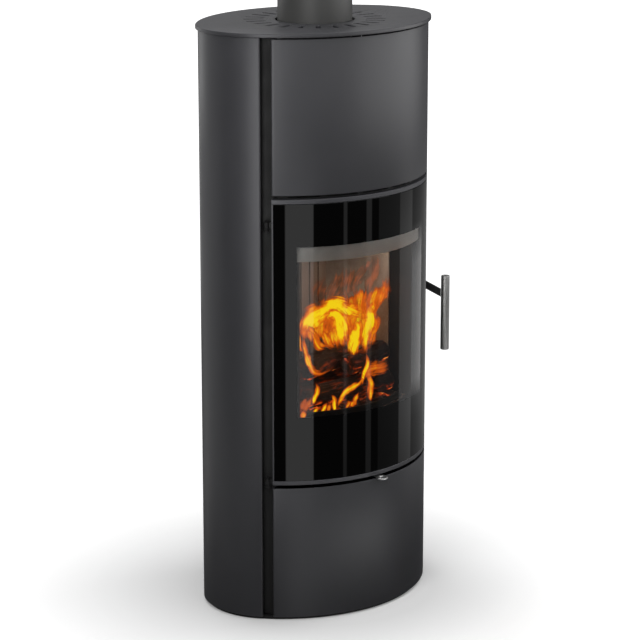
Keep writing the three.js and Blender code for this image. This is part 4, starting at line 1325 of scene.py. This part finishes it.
class STOVE_OT_studio(StoveOperator):
    """Builds the floor, the dark cards with their bright strips, the lamps and the camera"""

    bl_idname = "stove.studio"
    bl_label = "Studio"

    # Bright patches on the dark cards: from and to in degrees round the stove and how soft
    # these sides are, bottom and top and how soft these are, and the brightness
    PATCHES = (
        (-67, -51, 2, 0.2, 1.5, 0.1, 4.2),
        (-41, -20, 0.5, -0.7, 0.74, 0.05, 0.9),
        (-50, 0, 16, 0.95, 1.5, 0.1, 0.7),
        (4, 7, 0.5, -0.1, 1.3, 1.2, 0.4),
        (24, 29, 0.5, -0.1, 1.3, 1.2, 0.36),
        (36, 60, 0.5, 0.0, 1.0, 0.9, 0.15),
        (14, 80, 14, 0.77, 1.5, 0.2, 2.2),
        (-14, 20, 10, 0.86, 1.5, 0.1, 0.5),
        (60, 78, 0.5, -0.1, 0.7, 0.4, 0.52),
        (78, 98, 1, 0.12, 0.5, 0.05, 0.6),
        (78, 130, 1, -0.1, 0.7, 0.4, 0.2),
        (-14, 46, 20, -0.22, -0.08, 0.03, 4.0),
        (-180, -120, 12, -0.3, 1.4, 0.3, 0.5),
        (-125, -62, 8, -0.38, 0.0, 0.15, 0.5),
        (-180, -156, 8, 0.9, 1.9, 0.1, 1.0),
        (120, 180, 12, 0.9, 1.9, 0.2, 0.22),
        (125, 175, 8, 0.35, 0.9, 0.1, 1.4),
    )

    # Where the area lamps point: azimuth and elevation in degrees, distance and side
    LAMPS = {"top": (0, 75, 2.2, 2.2), "key": (-58, 32, 1.75, 0.9), "fill": (72, 32, 1.75, 0.9),
             "back": (180, 45, 2.4, 1.6)}
    LAMP_TARGET = Vector((0, 0, 0.6))

    # The lamps in the fire: place in millimetres, share of the fire's power, colour
    FIRE_LAMPS = (
        ((20, -75, 570), 0.35, (1.0, 0.48, 0.2)),
        ((60, -50, 620), 0.2, (1.0, 0.52, 0.24)),
        ((-60, -100, 500), 0.2, (1.0, 0.4, 0.12)),
        ((0, -90, 700), 0.8, (1.0, 0.95, 0.9)),
    )

    def build(self, sizes):
        studio = bpy.context.scene.studio_settings
        self.floor(studio)
        self.cards()
        self.world(studio)
        self.lamps(studio)
        self.camera(studio)
        bpy.context.scene.view_settings.view_transform = "Standard"

    def floor(self, studio):
        """A pale disc: white far away, with its real shadow and a painted soft shadow round the
        stove's foot.
        """
        ring = [(x, y, 0) for x, y in circle(30.0, 96)]
        mesh = bpy.data.meshes.new("floor")
        mesh.from_pydata(ring, [], [tuple(range(len(ring)))])
        finish = Finish("studio_floor", **{"Roughness": 0.9, "Specular IOR Level": 0.0})
        finish.colour(finish.blend(finish.noise(1.5, 2), studio.floor, shade(studio.floor, 0.99)))
        distance = finish.add("ShaderNodeVectorMath", {0: finish.place}, operation="LENGTH")
        distance = distance.outputs["Value"]
        # Glow for rays that may show the background: low near the stove for a painted shadow round
        # its foot, rising to white far away
        lift = finish.math("ADD", finish.spread(distance, 0.25, 0.62, 0.19, 0.58),
                           finish.spread(distance, 0.6, 4.0, 0.0, 0.6))
        finish.shader.inputs["Emission Color"].default_value = (1, 1, 1, 1)
        finish.join(finish.math("MULTIPLY", lift, finish.background_rays()),
                    finish.shader.inputs["Emission Strength"])
        mesh.materials.append(finish.material)
        floor = new_object("floor", mesh)
        floor.visible_glossy = floor.visible_diffuse = False

    def cards(self):
        """Dark cards round the stove with bright patches, for glossy faces to mirror."""
        radius, low, high, steps, levels = 1.25, -1.7, 1.9, 720, 72
        rows = [[(radius * math.sin(2 * math.pi * i / steps),
                  -radius * math.cos(2 * math.pi * i / steps), low + (high - low) * k / levels)
                 for i in range(steps)] for k in range(levels + 1)]
        cards = lofted("studio_cards", rows, caps=False, sharp=180)
        shine = cards.data.attributes.new("shine", "FLOAT", "POINT")
        for point, spot in zip(cards.data.vertices, shine.data):
            spot.value = self.shine(math.degrees(math.atan2(point.co.x, -point.co.y)), point.co.z)
        finish = Finish("studio_cards")
        level = finish.add("ShaderNodeAttribute", attribute_name="shine").outputs["Fac"]
        finish.show(finish.add("ShaderNodeEmission", {"Color": level}).outputs[0])
        cards.data.materials.append(finish.material)
        for kind in ("camera", "diffuse", "shadow", "transmission", "volume_scatter"):
            setattr(cards, f"visible_{kind}", False)

    def shine(self, angle, height):
        """Brightness of the cards at an angle round the stove and a height."""
        def inside(value, low, high, soft):
            reach = min(value - low, high - value) / soft + 0.5
            return min(1.0, max(0.0, reach))
        dark = 0.03
        return dark + sum(level * inside(angle, start, end, soft) * inside(height, low, high, blur)
                          for start, end, soft, low, high, blur, level in self.PATCHES)

    def world(self, studio):
        """Plain light from above, and a white background for the rays that may show it."""
        world = bpy.data.worlds.new("studio_world")
        bpy.context.scene.world = world
        world.use_nodes = True
        nodes = Nodes(world.node_tree)
        white = {"Color": (1, 1, 1)}
        shown = nodes.add("ShaderNodeBackground", white).outputs[0]
        upward = nodes.split(nodes.add("ShaderNodeTexCoord").outputs["Generated"])["Z"]
        above = nodes.spread(upward, -0.1, 0.1, 0.0, studio.sky_level)
        ambient = nodes.add("ShaderNodeBackground", {**white, "Strength": above}).outputs[0]
        output = nodes.add("ShaderNodeOutputWorld")
        nodes.join(nodes.mix(nodes.background_rays(), ambient, shown), output.inputs[0])

    def lamp(self, name, kind, energy, place, colour=(1, 1, 1)):
        """A lamp that doesn't show in mirrors."""
        data = bpy.data.lights.new(name, kind)
        data.energy = energy
        data.color = colour
        lamp = new_object(name, data)
        lamp.location = place
        lamp.visible_glossy = False
        return lamp

    def lamps(self, studio):
        """Area lamps, each giving a share of plain light at the stove, and the lamps in the fire."""
        for name, (azimuth, elevation, distance, side) in self.LAMPS.items():
            turn, rise = math.radians(azimuth), math.radians(elevation)
            away = Vector((math.sin(turn) * math.cos(rise), -math.cos(turn) * math.cos(rise),
                           math.sin(rise)))
            energy = getattr(studio, f"{name}_level") * math.pi ** 2 * distance ** 2
            lamp = self.lamp(f"{name}_lamp", "AREA", energy, self.LAMP_TARGET + away * distance)
            lamp.data.shape = "RECTANGLE"
            lamp.data.size = lamp.data.size_y = side
            lamp.rotation_euler = (-away).to_track_quat("-Z", "Y").to_euler()
        for number, (place, share, colour) in enumerate(self.FIRE_LAMPS):
            lamp = self.lamp(f"fire_light_{number}", "POINT", studio.fire_power * share,
                             Vector(place) * MM, colour)
            lamp.data.shadow_soft_size = 0.04

    def camera(self, studio):
        data = bpy.data.cameras.new("camera")
        data.sensor_width = 36
        data.lens = studio.lens
        data.clip_start, data.clip_end = 0.1, 100
        camera = new_object("camera", data)
        camera.location = studio.camera_place
        forward = Vector((math.sin(studio.heading) * math.cos(studio.tilt),
                          math.cos(studio.heading) * math.cos(studio.tilt),
                          -math.sin(studio.tilt)))
        camera.rotation_euler = forward.to_track_quat("-Z", "Y").to_euler()
        bpy.context.scene.camera = camera


class STOVE_PT_sidebar(bpy.types.Panel):
    """The stove's operators and settings"""

    bl_idname = "STOVE_PT_sidebar"
    bl_label = "Oval wood stove"
    bl_space_type = "VIEW_3D"
    bl_region_type = "UI"
    bl_category = "Stove"

    def draw(self, context):
        for operator in OPERATORS:
            self.layout.operator(operator.bl_idname)
        for settings in (context.scene.stove_sizes, context.scene.stove_colours,
                         context.scene.studio_settings):
            column = self.layout.column()
            for name in settings.__annotations__:
                column.prop(settings, name)


OPERATORS = (STOVE_OT_finishes, STOVE_OT_casing, STOVE_OT_top, STOVE_OT_door, STOVE_OT_hinges,
             STOVE_OT_handle, STOVE_OT_air, STOVE_OT_structure, STOVE_OT_flue, STOVE_OT_lining,
             STOVE_OT_logs, STOVE_OT_flames, STOVE_OT_studio)
CLASSES = (StoveSizes, StoveColours, StudioSettings, *OPERATORS, STOVE_PT_sidebar)


def register():
    for kind in CLASSES:
        bpy.utils.register_class(kind)
    bpy.types.Scene.stove_sizes = bpy.props.PointerProperty(type=StoveSizes)
    bpy.types.Scene.stove_colours = bpy.props.PointerProperty(type=StoveColours)
    bpy.types.Scene.studio_settings = bpy.props.PointerProperty(type=StudioSettings)


def unregister():
    del bpy.types.Scene.studio_settings
    del bpy.types.Scene.stove_colours
    del bpy.types.Scene.stove_sizes
    for kind in reversed(CLASSES):
        bpy.utils.unregister_class(kind)


def main():
    register()
    for operator in OPERATORS:
        group, name = operator.bl_idname.split(".")
        getattr(getattr(bpy.ops, group), name)()
    bpy.context.view_layer.update()


if __name__ == "__main__":
    main()
